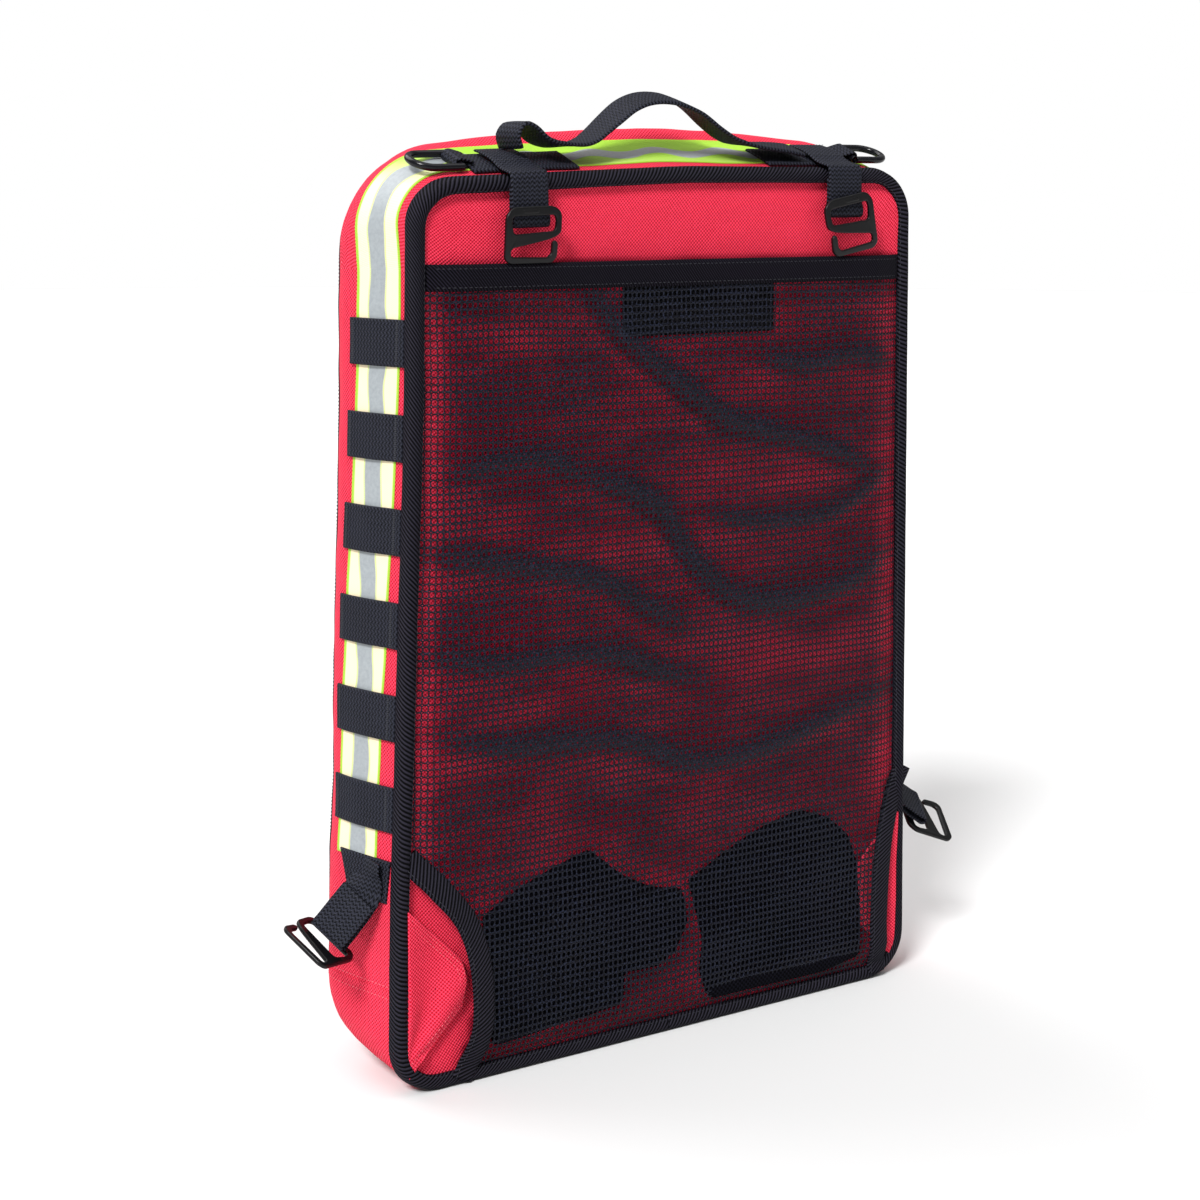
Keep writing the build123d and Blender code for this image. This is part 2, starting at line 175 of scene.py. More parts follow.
def weave_twill(u, v, pitch):
    """Binding tape: fine diagonal ribs, all one way."""
    return share(sine(add(u, times(v, 0.8)), pitch))


def weave_grosgrain(u, v, pitch):
    return add(times(share(sine(u, pitch)), 0.75), times(share(sine(v, pitch * 1.7)), 0.25))


def fabric(name, dark, light, weave, pitch, relief=0.25, rough=0.82, sheen=0.3, uneven=0.25,
           lump=70.0, fuzz=0.0, sheen_tint=(1, 1, 1), gloss=0.12, painted_shade_colours=None):
    """Cloth whose colour, relief and roughness all follow its weave, with uneven dye and fluff. Where
    the mesh has an attribute "cover", painted shade is laid into the colour: it turns that far to the given
    pair of darker shade colours."""
    material, tree, shader = new_material(name)
    u, v = uv_mm(tree)
    height = weave(u, v, pitch)
    grain, blotch = place_noise(tree, 1.3, 2.0), place_noise(tree, lump)
    worn = times(minus(blotch, 0.5), uneven * 2)
    strong = add(times(minus(height, 0.5), 1.7), 0.5)
    level = calc("ADD", add(strong, worn), times(minus(grain, 0.5), 0.5 + fuzz), clamp=True)
    colour = mix(level, dark, light)
    if painted_shade_colours:
        cover = node(tree, "Attribute", {"attribute_name": "cover"}).outputs["Fac"]
        colour = mix(cover, colour, mix(level, *painted_shade_colours))
    raised = add(height, times(grain, 0.5 + 2 * fuzz))
    plug(tree, shader, Base_Color=colour, Roughness=add(times(blotch, 0.14), rough - 0.07),
         Normal=bump(tree, min(1.0, relief * 2), 0.0005, raised), Sheen_Weight=sheen,
         Sheen_Roughness=0.5, Sheen_Tint=(*sheen_tint, 1), Specular_IOR_Level=gloss)
    return material


def hi_vis(name):
    """Woven fluorescent tape with a wavy silver stripe, painted pale cream for the glare of light where it
    runs down the sides, below about 0.5 m up.
    """
    middle, stripe, border = (TAPE_OUT - TAPE_IN) / 2, 5.6, 14.3
    material, tree, shader = new_material(name)
    u, v = uv_mm(tree)
    weave = weave_plain(u, v, 1.1)
    z = node(tree, "SeparateXYZ", Vector=node(tree, "TexCoord").outputs["Object"]).outputs[2]
    rise = ramp(z, 0.498, 0.518, {"interpolation_type": "SMOOTHSTEP"})
    # the stripe waves a little along the strip, and not at all where the side and head tapes meet
    still = ramp(calc("ABSOLUTE", minus(z, HIGH_CUT * MM)), 0.002, 0.026)
    sway = times(sine(u, 46.0), add(times(rise, 3.0), times(still, 0.9)))
    wobble = add(sway, times(minus(place_noise(tree, 26.0, 1.0), 0.5), 4.0))
    across = calc("ABSOLUTE", add(minus(v, middle), wobble))
    silver = ramp(across, stripe + 0.5, stripe)
    edge = ramp(calc("ABSOLUTE", minus(v, middle)), border, border + 0.7)
    cut_end = ramp(z, TAPE_LOW * MM + 0.0016, TAPE_LOW * MM + 0.0006)
    line = ramp(calc("ABSOLUTE", minus(across, 6.4)), 0.55, 0.25)
    edge = calc("MAXIMUM", calc("MAXIMUM", edge, cut_end), times(line, 0.6))
    # painted highlight: the glare of light on the tape, painted in as pale cream below the head, lime above
    pale = mix(weave, (0.84, 0.70, 0.43), (0.96, 0.86, 0.62))
    lime = mix(weave, (0.26, 0.50, 0.02), (0.42, 0.72, 0.05))
    field = mix(calc("MAXIMUM", rise, edge), pale, lime)
    beads = place_noise(tree, 2.2, 2.0)
    grey = mix(beads, (0.24, 0.265, 0.28), (0.36, 0.39, 0.41))
    height = add(times(weave, minus(1.0, silver)), times(silver, add(beads, 1.2)))
    plug(tree, shader, Base_Color=mix(silver, field, grey), Roughness=minus(0.75, times(silver, 0.3)),
         Normal=bump(tree, 0.5, 0.0004, height))
    return material


def coated_metal(name, colour=(0.012, 0.012, 0.014), rough=0.34, bright=0.25):
    """Black lacquered steel, rubbed bright in small places, with softened edges."""
    material, tree, shader = new_material(name)
    rub, orange_peel = place_noise(tree, 5.0, 4.0, 0.7), place_noise(tree, 0.9, 2.0)
    round_edge = node(tree, "Bevel", {"samples": 4}, Radius=0.0005).outputs[0]
    plug(tree, shader, Base_Color=mix(times(ramp(rub, 0.62, 0.80), bright), colour, (0.32, 0.32, 0.34)),
         Roughness=add(times(rub, 0.2), rough - 0.1), Specular_IOR_Level=0.26,
         Normal=bump(tree, 0.12, 0.0002, orange_peel, Normal=round_edge))
    return material


def thread_material(name, colour, sheen=0.2):
    material, tree, shader = new_material(name)
    twist = place_noise(tree, 1.0, 2.0)
    dark, light = [c * 0.6 for c in colour], [min(1, c * 1.35) for c in colour]
    plug(tree, shader, Base_Color=mix(twist, dark, light), Roughness=0.6, Sheen_Weight=sheen,
         Normal=bump(tree, 0.3, 0.0002, twist))
    return material


def knit_material(name):
    """Filament yarn of the open knit: near black, with a blue-grey shine painted into its colour in spots
    along the yarn.
    """
    material, tree, shader = new_material(name)
    lump, yarn = place_noise(tree, 90.0), place_noise(tree, 0.8, 2.0)
    base = mix(lump, (0.0006, 0.0005, 0.0016), (0.0022, 0.0022, 0.0052))
    # painted highlight: blue-grey spots of shine mixed into the near black base colour
    plug(tree, shader, Base_Color=mix(ramp(yarn, 0.45, 0.75), base, (0.020, 0.026, 0.052)), Roughness=0.5,
         Specular_IOR_Level=0.14, Normal=bump(tree, 0.25, 0.0002, yarn))
    return material


RED_DARK, RED_LIGHT, RED_SHEEN = (0.48, 0.0008, 0.012), (1.0, 0.060, 0.128), (1.0, 0.45, 0.45)
RED = fabric("red_cordura", RED_DARK, RED_LIGHT, weave_plain, 2.2, 0.5, 0.80, 0.06, 0.12, 80.0,
             sheen_tint=RED_SHEEN)
# the rear panel's red, which turns to a darker pair of colours where the knit's shade is painted on it
RED_IN = fabric("red_panel_painted_shade", RED_DARK, RED_LIGHT, weave_plain, 2.2, 0.5, 0.82, 0.05, 0.12, 80.0,
                sheen_tint=RED_SHEEN, painted_shade_colours=((0.10, 0.0002, 0.004), (0.36, 0.0022, 0.028)))
LINING = fabric("grey_lining", (0.03, 0.03, 0.033), (0.12, 0.12, 0.125), weave_plain, 2.2, 0.3, 0.9, 0.1)
LOOP = fabric("loop_pile", (0.0006, 0.0006, 0.001), (0.010, 0.010, 0.014), weave_plain, 2.6, 0.6, 0.95,
              0.05, 0.3, 20.0, fuzz=1.0, gloss=0.04)
SHELF = fabric("shelf_cloth", (0.08, 0.08, 0.085), (0.26, 0.26, 0.27), weave_plain, 2.2, 0.3, 0.85, 0.1)
BINDING = fabric("binding_twill", (0.0002, 0.0002, 0.0005), (0.024, 0.022, 0.033), weave_twill, 2.6, 0.9,
                 0.7, 0.0, 0.16, 30.0, gloss=0.06)
HEM = fabric("hem_tape", (0.0002, 0.0002, 0.0005), (0.013, 0.011, 0.019), weave_twill, 1.8, 0.55, 0.7,
             0.0, 0.16, 40.0, gloss=0.06)
WEB = fabric("ribbed_webbing", (0.0005, 0.0006, 0.0010), (0.028, 0.030, 0.045), weave_ribs, 2.4, 0.8, 0.6,
             0.0, 0.16, 22.0, gloss=0.10)
ELASTIC = fabric("ribbed_elastic", (0.001, 0.001, 0.0015), (0.022, 0.022, 0.026), weave_grosgrain, 1.8, 0.6,
                 0.75, 0.0)
HARNESS = fabric("harness_padding", (0.0004, 0.0004, 0.0008), (0.005, 0.005, 0.009), weave_plain, 3.0, 0.5,
                 0.85, 0.0, 0.3, 25.0, gloss=0.04)
ZIP_TAPE = fabric("zip_tape", (0.003, 0.003, 0.004), (0.024, 0.024, 0.028), weave_twill, 1.4, 0.4, 0.8, 0.0)
TAPE = hi_vis("high_visibility_tape")
KNIT = knit_material("open_knit")
METAL = coated_metal("black_coated_steel", (0.0015, 0.0015, 0.002), 0.34, 0.04)
RING_METAL = coated_metal("black_ring_steel", (0.004, 0.004, 0.006), 0.20, 0.06)
ZIP_METAL = coated_metal("black_zip_metal", (0.012, 0.012, 0.014), 0.3, 0.4)
COIL = thread_material("zip_coil", (0.010, 0.010, 0.013), 0.0)
BLACK_THREAD = thread_material("black_thread", (0.018, 0.019, 0.027), 0.0)
RED_THREAD = thread_material("red_thread", (0.95, 0.12, 0.16))
FOAM = fabric("grey_foam", (0.18, 0.18, 0.18), (0.3, 0.3, 0.3), weave_plain, 3.0, 0.4, 0.95, 0.0)


# ---------------------------------------------------------------- mesh building
def eased(t):
    """0 to 1 with soft ends."""
    return t * t * (3 - 2 * t)


def lean(P):
    """The standing pack leans: its left wall comes in towards the top, and its head slopes down there."""
    x, depth, z = P[:, 0], P[:, 1] - REAR_Y, P[:, 2]
    side = eased(np.clip(-x / LEAN_MIDDLE, 0, 1))
    high = eased(np.clip((z - DROP_LOW) / DROP_RISE, 0, 1))
    moved = P.copy()
    moved[:, 0] += np.interp(z, *LEAN_IN) * side * (1 - LEAN_FRONT * np.clip(depth / LID_D, 0, 1))
    moved[:, 2] -= HEAD_DROP * np.clip((DROP_START - x) / DROP_REACH, 0, 1) * high
    moved[:, 2] = np.maximum(moved[:, 2], FLOOR_GAP)
    return moved


def build(name, points, faces, material, body, uv=None, replaces=()):
    """Mesh object from points in mm; uv gives (u, v) in mm for each point."""
    mesh = bpy.data.meshes.new(name)
    points = lean(np.asarray(points, float).reshape(-1, 3))
    mesh.from_pydata((points * MM).tolist(), [], [tuple(int(i) for i in f) for f in faces])
    uv = points[:, [0, 2]] if uv is None else np.asarray(uv, float).reshape(-1, 2)
    loops = np.zeros(len(mesh.loops), np.int32)
    mesh.loops.foreach_get("vertex_index", loops)
    mesh.uv_layers.new(name="UVMap").data.foreach_set("uv", uv[loops].astype(np.float32).ravel())
    mesh.polygons.foreach_set("use_smooth", [True] * len(mesh.polygons))
    mesh.update()
    for m in material if isinstance(material, list) else [material]:
        mesh.materials.append(m)
    obj = bpy.data.objects.new(name, mesh)
    bpy.context.scene.collection.objects.link(obj)
    if body:
        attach(obj, body)
    if replaces:
        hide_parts(*([replaces] if isinstance(replaces, str) else replaces))
    return obj


def quads(a, b, start=0, flip=False):
    """Faces of an a by b grid of points."""
    i = (np.arange(a - 1)[:, None] * b + np.arange(b - 1)[None, :]).ravel() + start
    f = np.stack([i, i + 1, i + b + 1, i + b], 1)
    return f[:, ::-1] if flip else f


def normals(P):
    """Unit normals of a grid of points (a, b, 3)."""
    n = np.cross(np.gradient(P, axis=1), np.gradient(P, axis=0))
    return n / np.maximum(np.linalg.norm(n, axis=2, keepdims=True), 1e-9)


def run_along(path):
    """Length along a path, at each of its points."""
    return np.concatenate([[0], np.cumsum(np.linalg.norm(np.diff(path, axis=0), axis=1))])


def at_lengths(path, run, where):
    """Points of a path at some lengths along it."""
    return np.stack([np.interp(where, run, path[:, k]) for k in range(path.shape[1])], 1)


def grid(rows, columns):
    """Two grids: each row's number, and each column's."""
    return np.meshgrid(rows, columns, indexing="ij")


def lengths(P):
    """(u, v) in mm over a grid: u along its rows, v down its columns."""
    du = np.linalg.norm(np.diff(P, axis=1), axis=2)
    dv = np.linalg.norm(np.diff(P, axis=0), axis=2)
    u = np.concatenate([np.zeros((P.shape[0], 1)), np.cumsum(du, 1)], 1)
    v = np.concatenate([np.zeros((1, P.shape[1])), np.cumsum(dv, 0)], 0)
    return np.stack([u, v], 2)


def slab(name, inner, outer, material, body, uv=None, replaces=()):
    """Closed sheet between two grids of the same size."""
    a, b = outer.shape[:2]
    n = a * b
    uv = lengths(outer) if uv is None else uv
    points = np.concatenate([outer.reshape(-1, 3), inner.reshape(-1, 3)])
    facing = np.sum(normals(outer) * (outer - inner)) > 0
    index = np.arange(n).reshape(a, b)
    loop = np.concatenate([index[0, :], index[1:, -1], index[-1, -2::-1], index[-2::-1, 0]])
    rim = np.stack([loop[:-1], loop[1:], loop[1:] + n, loop[:-1] + n], 1)
    faces = [quads(a, b, 0, not facing), quads(a, b, n, facing), rim[:, ::-1] if facing else rim]
    return build(name, points, np.concatenate(faces), material, body,
                 np.concatenate([uv.reshape(-1, 2)] * 2), replaces)


def edge_fall(a_mm, b_mm, edge, beyond=(0.0, 0.0)):
    """Height share over a grid that rounds off towards its border, from lengths along both sides.
    beyond is how far the second side runs on past its two ends."""
    da = np.minimum(a_mm - a_mm[0], a_mm[-1] - a_mm)
    db = np.minimum(b_mm - b_mm[0] + beyond[0], b_mm[-1] - b_mm + beyond[1])
    d = np.minimum(da[:, None], db[None, :])
    t = np.clip(d / edge, 0, 1)
    return 0.35 + 0.65 * np.sqrt(1 - (1 - t) ** 2)


def spaced(low, high, step, edge=0.0):
    """Numbers from low to high about step apart, closer together at both ends."""
    middle = np.linspace(low + edge, high - edge, max(2, int(round((high - low) / step)) + 1))
    if not edge:
        return middle
    ends = edge * np.array([0.0, 0.12, 0.45])
    return np.concatenate([low + ends, middle, (high - ends)[::-1]])


def smooth_path(points, step=2.0):
    """Even points along a Catmull-Rom curve through the given ones."""
    p = np.asarray(points, float)
    padded = np.vstack([2 * p[0] - p[1], p, 2 * p[-1] - p[-2]])
    out = []
    for i in range(1, len(padded) - 2):
        a, b, c, d = padded[i - 1:i + 3]
        for t in np.linspace(0, 1, 12, endpoint=False):
            out.append(0.5 * (2 * b + (c - a) * t + (2 * a - 5 * b + 4 * c - d) * t ** 2
                              + (3 * b - a - 3 * c + d) * t ** 3))
    out = np.array(out + [p[-1]])
    s = run_along(out)
    return at_lengths(out, s, np.linspace(0, s[-1], max(3, int(s[-1] / step) + 1)))


def ribbon(name, path, across, width, thick, material, body, replaces=(), crown=0.0,
           step=2.0):
    """Woven strap swept along a path of (x, y, z). across is its width direction, width and thick
    one number each or one for each path point; crown lifts the middle of the width."""
    P = smooth_path(path, step)
    n = len(P)
    share = np.linspace(0, 1, n)

    def along(value):
        value = np.atleast_1d(np.asarray(value, float))
        return np.interp(share, np.linspace(0, 1, len(value)), value)

    W = np.asarray(across, float)
    if W.ndim == 2:
        W = np.stack([along(W[:, k]) for k in range(3)], 1)
    W = np.broadcast_to(W, (n, 3))
    T = np.gradient(P, axis=0)
    T = T / np.linalg.norm(T, axis=1, keepdims=True)
    W = W - T * np.sum(W * T, 1, keepdims=True)
    W = W / np.linalg.norm(W, axis=1, keepdims=True)
    N = np.cross(T, W)
    w, t = along(width)[:, None], along(thick)[:, None]
    flat = np.linspace(-1, 1, 9)
    turn = np.linspace(math.pi / 2, -math.pi / 2, 5)[1:-1]
    a = np.concatenate([flat, [1] * 3, flat[::-1], [-1] * 3])
    extra = np.concatenate([np.zeros(9), np.cos(turn), np.zeros(9), -np.cos(turn)])
    b = np.concatenate([np.ones(9), np.sin(turn), -np.ones(9), -np.sin(turn)])
    A = a * (w / 2 - t / 2) + extra * t / 2
    B = b * t / 2 + crown * (1 - a ** 2)
    G = P[:, None, :] + A[:, :, None] * W[:, None, :] + B[:, :, None] * N[:, None, :]
    k = G.shape[1]
    uv = np.stack([np.repeat(run_along(P)[:, None], k, 1), A + w / 2], 2)
    faces = [(i * k + j, i * k + (j + 1) % k, (i + 1) * k + (j + 1) % k, (i + 1) * k + j)
             for i in range(n - 1) for j in range(k)]
    faces += [tuple(range(k))[::-1], tuple(range((n - 1) * k, n * k))]
    return build(name, G.reshape(-1, 3), faces, material, body, uv, replaces)


def stitches(name, lines, body, material=None, pitch=3.2, size=2.3, wide=0.55, high=0.45):
    """Rows of thread. Each line is (path, normal) with path (n, 3) and the normal one or n vectors."""
    points, faces = [], []
    for path, up in lines:
        path = np.asarray(path, float)
        up = np.broadcast_to(np.asarray(up, float), path.shape)
        s = run_along(path)
        count = max(1, int(s[-1] / pitch))
        for m in (np.arange(count) + 0.5) * s[-1] / count:
            ends = at_lengths(path, s, [max(0, m - size / 2), m, min(s[-1], m + size / 2)])
            n = at_lengths(up, s, [m])[0]
            n /= max(np.linalg.norm(n), 1e-9)
            t = ends[2] - ends[0]
            t /= max(np.linalg.norm(t), 1e-9)
            side = np.cross(n, t)
            i = len(points)
            points += [ends[0], ends[1] + side * wide / 2, ends[1] + n * high, ends[1] - side * wide / 2,
                       ends[2]]
            faces += [(i, i + 1, i + 2), (i, i + 2, i + 3), (i + 4, i + 2, i + 1), (i + 4, i + 3, i + 2)]
    return build(name, points, faces, material or BLACK_THREAD, body)


def fbm(P, size, seed=0.0):
    """Smooth noise, about -1 to 1, at each point of an array (..., 3), with lumps of size mm."""
    flat = np.asarray(P, float).reshape(-1, 3) / size + seed
    return np.array([noise.noise(Vector(p)) for p in flat]).reshape(np.asarray(P).shape[:-1])


def fbm_xz(x, z, size, seed=0.0):
    """The same noise over x and z alone."""
    return fbm(np.stack([x, z, np.zeros_like(x)], -1), size, seed)


# ---------------------------------------------------------------- the body's surface
def profile(depth):
    """Side bulge, top bulge, lowest z and corner radius at a depth, with softened creases."""
    at = np.clip(depth + np.array([-3.0, 0.0, 3.0]), 0, LID_D)
    return [float(np.mean(np.interp(at, PROFILE[:, 0], PROFILE[:, k]))) for k in (1, 2, 3, 4)]


def half_width(z):
    return (BASE_W + (TOP_W - BASE_W) * (z - FOOT_Z) / (HEAD_Z - FOOT_Z)) / 2


def half_ring(depth, grow=0.0, radius=None):
    """Right half of the body's outline at a depth: (x, z) from the bottom middle to the top middle."""
    side, top, low, rad = profile(depth)
    rad = max(6.0, (rad if radius is None else radius) + grow)
    z0, z1 = low - grow, HEAD_Z + top + grow
    A = np.array([half_width(z0) + side + grow, z0])
    B = np.array([half_width(z1) + side + grow, z1])
    start, end = np.array([0.0, z0]), np.array([0.0, z1])

    def corner(p, q, r):
        a, b = (p - q) / np.linalg.norm(p - q), (r - q) / np.linalg.norm(r - q)
        half = math.acos(np.clip(a @ b, -1, 1)) / 2
        centre = q + (a + b) / np.linalg.norm(a + b) * rad / math.sin(half)
        first, last = q + a * rad / math.tan(half), q + b * rad / math.tan(half)
        a0 = math.atan2(*(first - centre)[::-1])
        a1 = math.atan2(*(last - centre)[::-1])
        turn = (a1 - a0 + math.pi) % (2 * math.pi) - math.pi
        t = a0 + turn * np.linspace(0, 1, 15)
        return centre + rad * np.stack([np.cos(t), np.sin(t)], 1)

    low_arc, high_arc = corner(start, A, B), corner(A, B, end)
    return np.vstack([np.linspace(start, low_arc[0], 28, endpoint=False), low_arc,
                      np.linspace(low_arc[-1], high_arc[0], 84, endpoint=False)[1:], high_arc,
                      np.linspace(high_arc[-1], end, 27)[1:]])


def cut(depth, low=None, high=None, count=60, grow=0.0, radius=None):
    """Part of the right half outline between two heights, as count even points."""
    P = half_ring(depth, grow, radius)
    s = run_along(P)
    climb = P[:, 1] + 1e-5 * s  # always rising, so that a height has one place
    s0 = 0.0 if low is None else float(np.interp(low, climb, s))
    s1 = s[-1] if high is None else float(np.interp(high, climb, s))
    return at_lengths(P, s, np.linspace(s0, s1, count))


def band(depths, part, low=None, high=None, count=60, grow=0.0, radius=None):
    """Grid over the body: one row per depth. part is left, right, base (round the foot), top or round."""
    rows = []
    for i, d in enumerate(depths):
        p = cut(d, None if part in ("base", "round") else low, None if part in ("top", "round") else high,
                count, grow[i] if np.ndim(grow) else grow, radius)
        mirrored = (p * (-1, 1))[::-1]
        if part == "base":
            p = np.vstack([mirrored[:-1], p])
        elif part in ("top", "round"):
            p = np.vstack([p, mirrored[1:]])
        elif part == "left":
            p = p * (-1, 1)
        rows.append(np.column_stack([p[:, 0], np.full(len(p), REAR_Y + d), p[:, 1]]))
    return np.array(rows)


def even_rows(P, count):
    """The same grid with each row's points spread evenly along it."""
    runs = [run_along(row) for row in P]
    return np.array([at_lengths(row, s, np.linspace(0, s[-1], count)) for row, s in zip(P, runs)])


def outward(P):
    """Normals of a grid on the body that point away from its middle."""
    N = normals(P)
    away = P - np.array([0.0, REAR_Y + 45.0, 250.0])
    return N * (1.0 if np.sum(N * away) > 0 else -1.0)


def head_dome(P):
    """The stuffed roll along the middle of the head, behind the tape, in mm."""
    depth = P[..., 1] - REAR_Y
    across = np.clip(1 - (P[..., 0] / 158.0) ** 2, 0, 1)
    return 8.5 * across * np.exp(-((depth - 55.0) / 8.5) ** 2) * np.clip((P[..., 2] - 490.0) / 25.0, 0, 1)


def crumple(P):
    """How far the stuffed fabric stands in or out, in mm, at each point of the body's surface."""
    depth = P[..., 1] - REAR_Y
    calm = np.clip((depth - 3.0) / 10.0, 0, 1)
    taped = np.clip(1 - np.abs(depth - 30.0) / 22.0, 0, 1)
    big, small = fbm(P, 62.0, 3.1), fbm(P * (1.0, 1.6, 1.0), 19.0, 7.7)
    return head_dome(P) + calm * ((1.25 - 0.8 * taped) * big + (0.5 - 0.3 * taped) * small - 0.35)


def skin(P, offset):
    """Grid on the crumpled fabric, raised by an offset in mm."""
    N = outward(P)
    return P + N * (crumple(P) + offset)[..., None]


def two_faced(name, P, offset, thick, body, replaces, keep=None, uv=None):
    """Padded wall on the body: red outside, lining inside. keep drops faces whose points are all out."""
    outer, inner = skin(P, offset), skin(P, offset - thick)
    piece = slab(name, inner, outer, [RED, LINING], body, uv, replaces)
    mesh = piece.data
    mesh.set_sharp_from_angle(angle=math.radians(55))
    a, b = P.shape[:2]
    count = (a - 1) * (b - 1)
    mark = np.zeros(len(mesh.polygons), np.int32)
    mark[count:2 * count] = 1
    mesh.polygons.foreach_set("material_index", mark)
    if keep is not None:
        both = np.concatenate([keep.ravel()] * 2)
        bm = bmesh.new()
        bm.from_mesh(mesh)
        gone = [f for f in bm.faces if not any(both[v.index] for v in f.verts)]
        bmesh.ops.delete(bm, geom=gone, context="FACES")
        bm.to_mesh(mesh)
        bm.free()
    return piece


# ---------------------------------------------------------------- gusset and lid shells
GUSSET_DEPTHS = np.concatenate([[0.6, 2.0, 4.0], np.linspace(7.0, 66.0, 20), [68.5, 71.0, 73.0, 74.6]])
two_faced("side_wall_left", band(GUSSET_DEPTHS, "left", LOW_CUT, HIGH_CUT, 110), 0, WALL, "pack_body",
          "gusset_left")
two_faced("side_wall_right", band(GUSSET_DEPTHS, "right", LOW_CUT, HIGH_CUT, 110), 0, WALL, "pack_body",
          "gusset_right")
two_faced("head_wall", band(GUSSET_DEPTHS, "top", HIGH_CUT, None, 64), 0, WALL, "pack_body", "gusset_top")
foot_rows = [band([d], "base", None, LOW_CUT + 1.5, 70) for d in GUSSET_DEPTHS]
foot_rows += [band([d], "base", None, HINGE_Z - 0.2, 70) for d in (75.2, 78.0, 82.0, 86.0, 90.0, 93.0, 95.6)]
two_faced("foot_wall", np.concatenate(foot_rows), 0.35, WALL, "pack_body", "gusset_base")

# lid: its rim from the zip to the front, then the front face drawn in to one point
rim_depths = [75.4, 76.6, 78.5, 81.0, 84.0, 87.0, 90.0, 92.5, 95.0, 97.0, 98.6, 99.4]
rim = even_rows(band(rim_depths, "round", count=300), 340)
front_edge = even_rows(band([100.0], "round", count=300), 340)[0]
FRONT_MIDDLE = np.array([0.0, REAR_Y + 100.0, 372.0])
shares = np.linspace(1.0, 0.008, 52)


def front_bulge(x, z):
    """How far the stuffed front face stands proud, in mm."""
    return 2.6 * np.clip(1 - (np.abs(x) / 140.0) ** 2.5, 0, 1) * np.clip(
        1 - (np.abs(z - 262.0) / 216.0) ** 2.5, 0, 1)


cap = FRONT_MIDDLE + (front_edge - FRONT_MIDDLE)[None] * shares[:, None, None]
cap[..., 1] += front_bulge(cap[..., 0], cap[..., 2])
lid_grid = np.concatenate([rim, cap])
stays = lid_grid[..., 2] > HINGE_Z + 0.3
lid_grid[..., 2] = np.maximum(lid_grid[..., 2], HINGE_Z + 0.3)
lid_uv = lengths(lid_grid)
lid_uv[len(rim):] = cap[..., [0, 2]]
two_faced("lid_shell", lid_grid, 0, WALL, "lid", "lid_cover", keep=stays, uv=lid_uv)


# ---------------------------------------------------------------- rear panel and what lies on it
def panel(depth, inset, step, radius, top=0.0):
    """Grid over the rounded panel outline at a depth, drawn in by inset."""
    z = np.linspace(FOOT_Z + inset, HEAD_Z + top - inset, int(500 / step))
    u = np.linspace(-1, 1, int(350 / step))
    Z = np.repeat(z[:, None], len(u), 1)
    X = u[None, :] * (half_width(Z) - inset)
    for foot in (True, False):
        cz = (FOOT_Z + inset + radius) if foot else (HEAD_Z + top - inset - radius)
        cx = half_width(cz) - inset - radius
        dz = (cz - Z) if foot else (Z - cz)
        dx = np.abs(X) - cx
        r = np.hypot(np.maximum(dx, 0), np.maximum(dz, 0))
        out = (dx > 0) & (dz > 0) & (r > radius)
        X = np.where(out, np.sign(X) * (cx + dx * radius / np.maximum(r, 1e-6)), X)
        Z = np.where(out, (cz - dz * radius / np.maximum(r, 1e-6)) if foot
                     else (cz + dz * radius / np.maximum(r, 1e-6)), Z)
    return np.stack([X, np.full_like(X, REAR_Y + depth), Z], 2)


back = panel(0.0, 1.2, 4.0, 24.8)
head_band = np.clip((back[..., 2] - HEM_LOW) / 8, 0, 1) * np.clip((HEAD_Z - 8 - back[..., 2]) / 9, 0, 1)
back[..., 1] += 0.5 + 0.45 * fbm(back, 45.0) - head_band * (
    1.5 + 0.55 * fbm(back * (1, 1, 1.8), 34.0, 4.0) + 0.3 * fbm(back, 9.0, 8.0))
inner = back.copy()
inner[..., 1] = REAR_Y + WALL
rear = slab("rear_panel", inner, back, RED_IN, "pack_body", None, "rear_cover")
lining = panel(11.7, 5.0, 9.0, 26.0, 2.0)
lining[..., 1] -= 0.4 + 0.3 * fbm(lining, 40.0)
lining_back = lining.copy()
lining_back[..., 1] = REAR_Y + 10.2
slab("inner_lining", lining_back, lining, LINING, "pack_body", None, "rear_lining")

# edge binding: folded twill tape all round the panel, seen as a thick ridge from behind
ridge = [(-6.0, 0.35), (-6.1, -1.0), (-5.5, -2.3), (-4.2, -3.3), (-2.4, -3.9), (-0.4, -3.9), (1.1, -3.1),
         (2.0, -1.6), (2.3, 0.4), (2.3, 2.4), (2.0, 4.0), (1.2, 5.2), (0.2, 5.6)]
rows = [band([d], "round", count=300, grow=g, radius=26.0)[0] for g, d in ridge]
tape_grid = np.array(rows)
swell = fbm(tape_grid, 26.0, 5.5)[..., None] * 0.42 + fbm(tape_grid, 7.0, 1.5)[..., None] * 0.16
centre_line = np.mean(tape_grid, 0, keepdims=True)
tape_grid = tape_grid + (tape_grid - centre_line) * 0.075 * swell
tape_uv = lengths(tape_grid)
tape_uv[..., 0] = tape_uv[len(ridge) // 2, :, 0]
tape_grid[..., 2] = np.maximum(tape_grid[..., 2], 0.15)
under = tape_grid * 0.86 + np.mean(tape_grid, 0, keepdims=True) * 0.14
slab("edge_tape", under, tape_grid, BINDING, "pack_body", tape_uv, "edge_binding")
stitch_row = band([-2.75], "round", count=420, grow=-5.0, radius=26.0)[0]
stitches("edge_tape_stitches", [(stitch_row, (0, -1, 0))], "pack_body", pitch=3.4, size=2.6)


def inset_of(X, Z):
    """Distance in from the rear panel's outline."""
    r = 18.0
    side, foot = half_width(Z) - np.abs(X), Z - FOOT_Z
    near = np.minimum(side, foot)
    both = (side < r) & (foot < r)
    return np.where(both, r - np.hypot(r - side, r - foot), near)


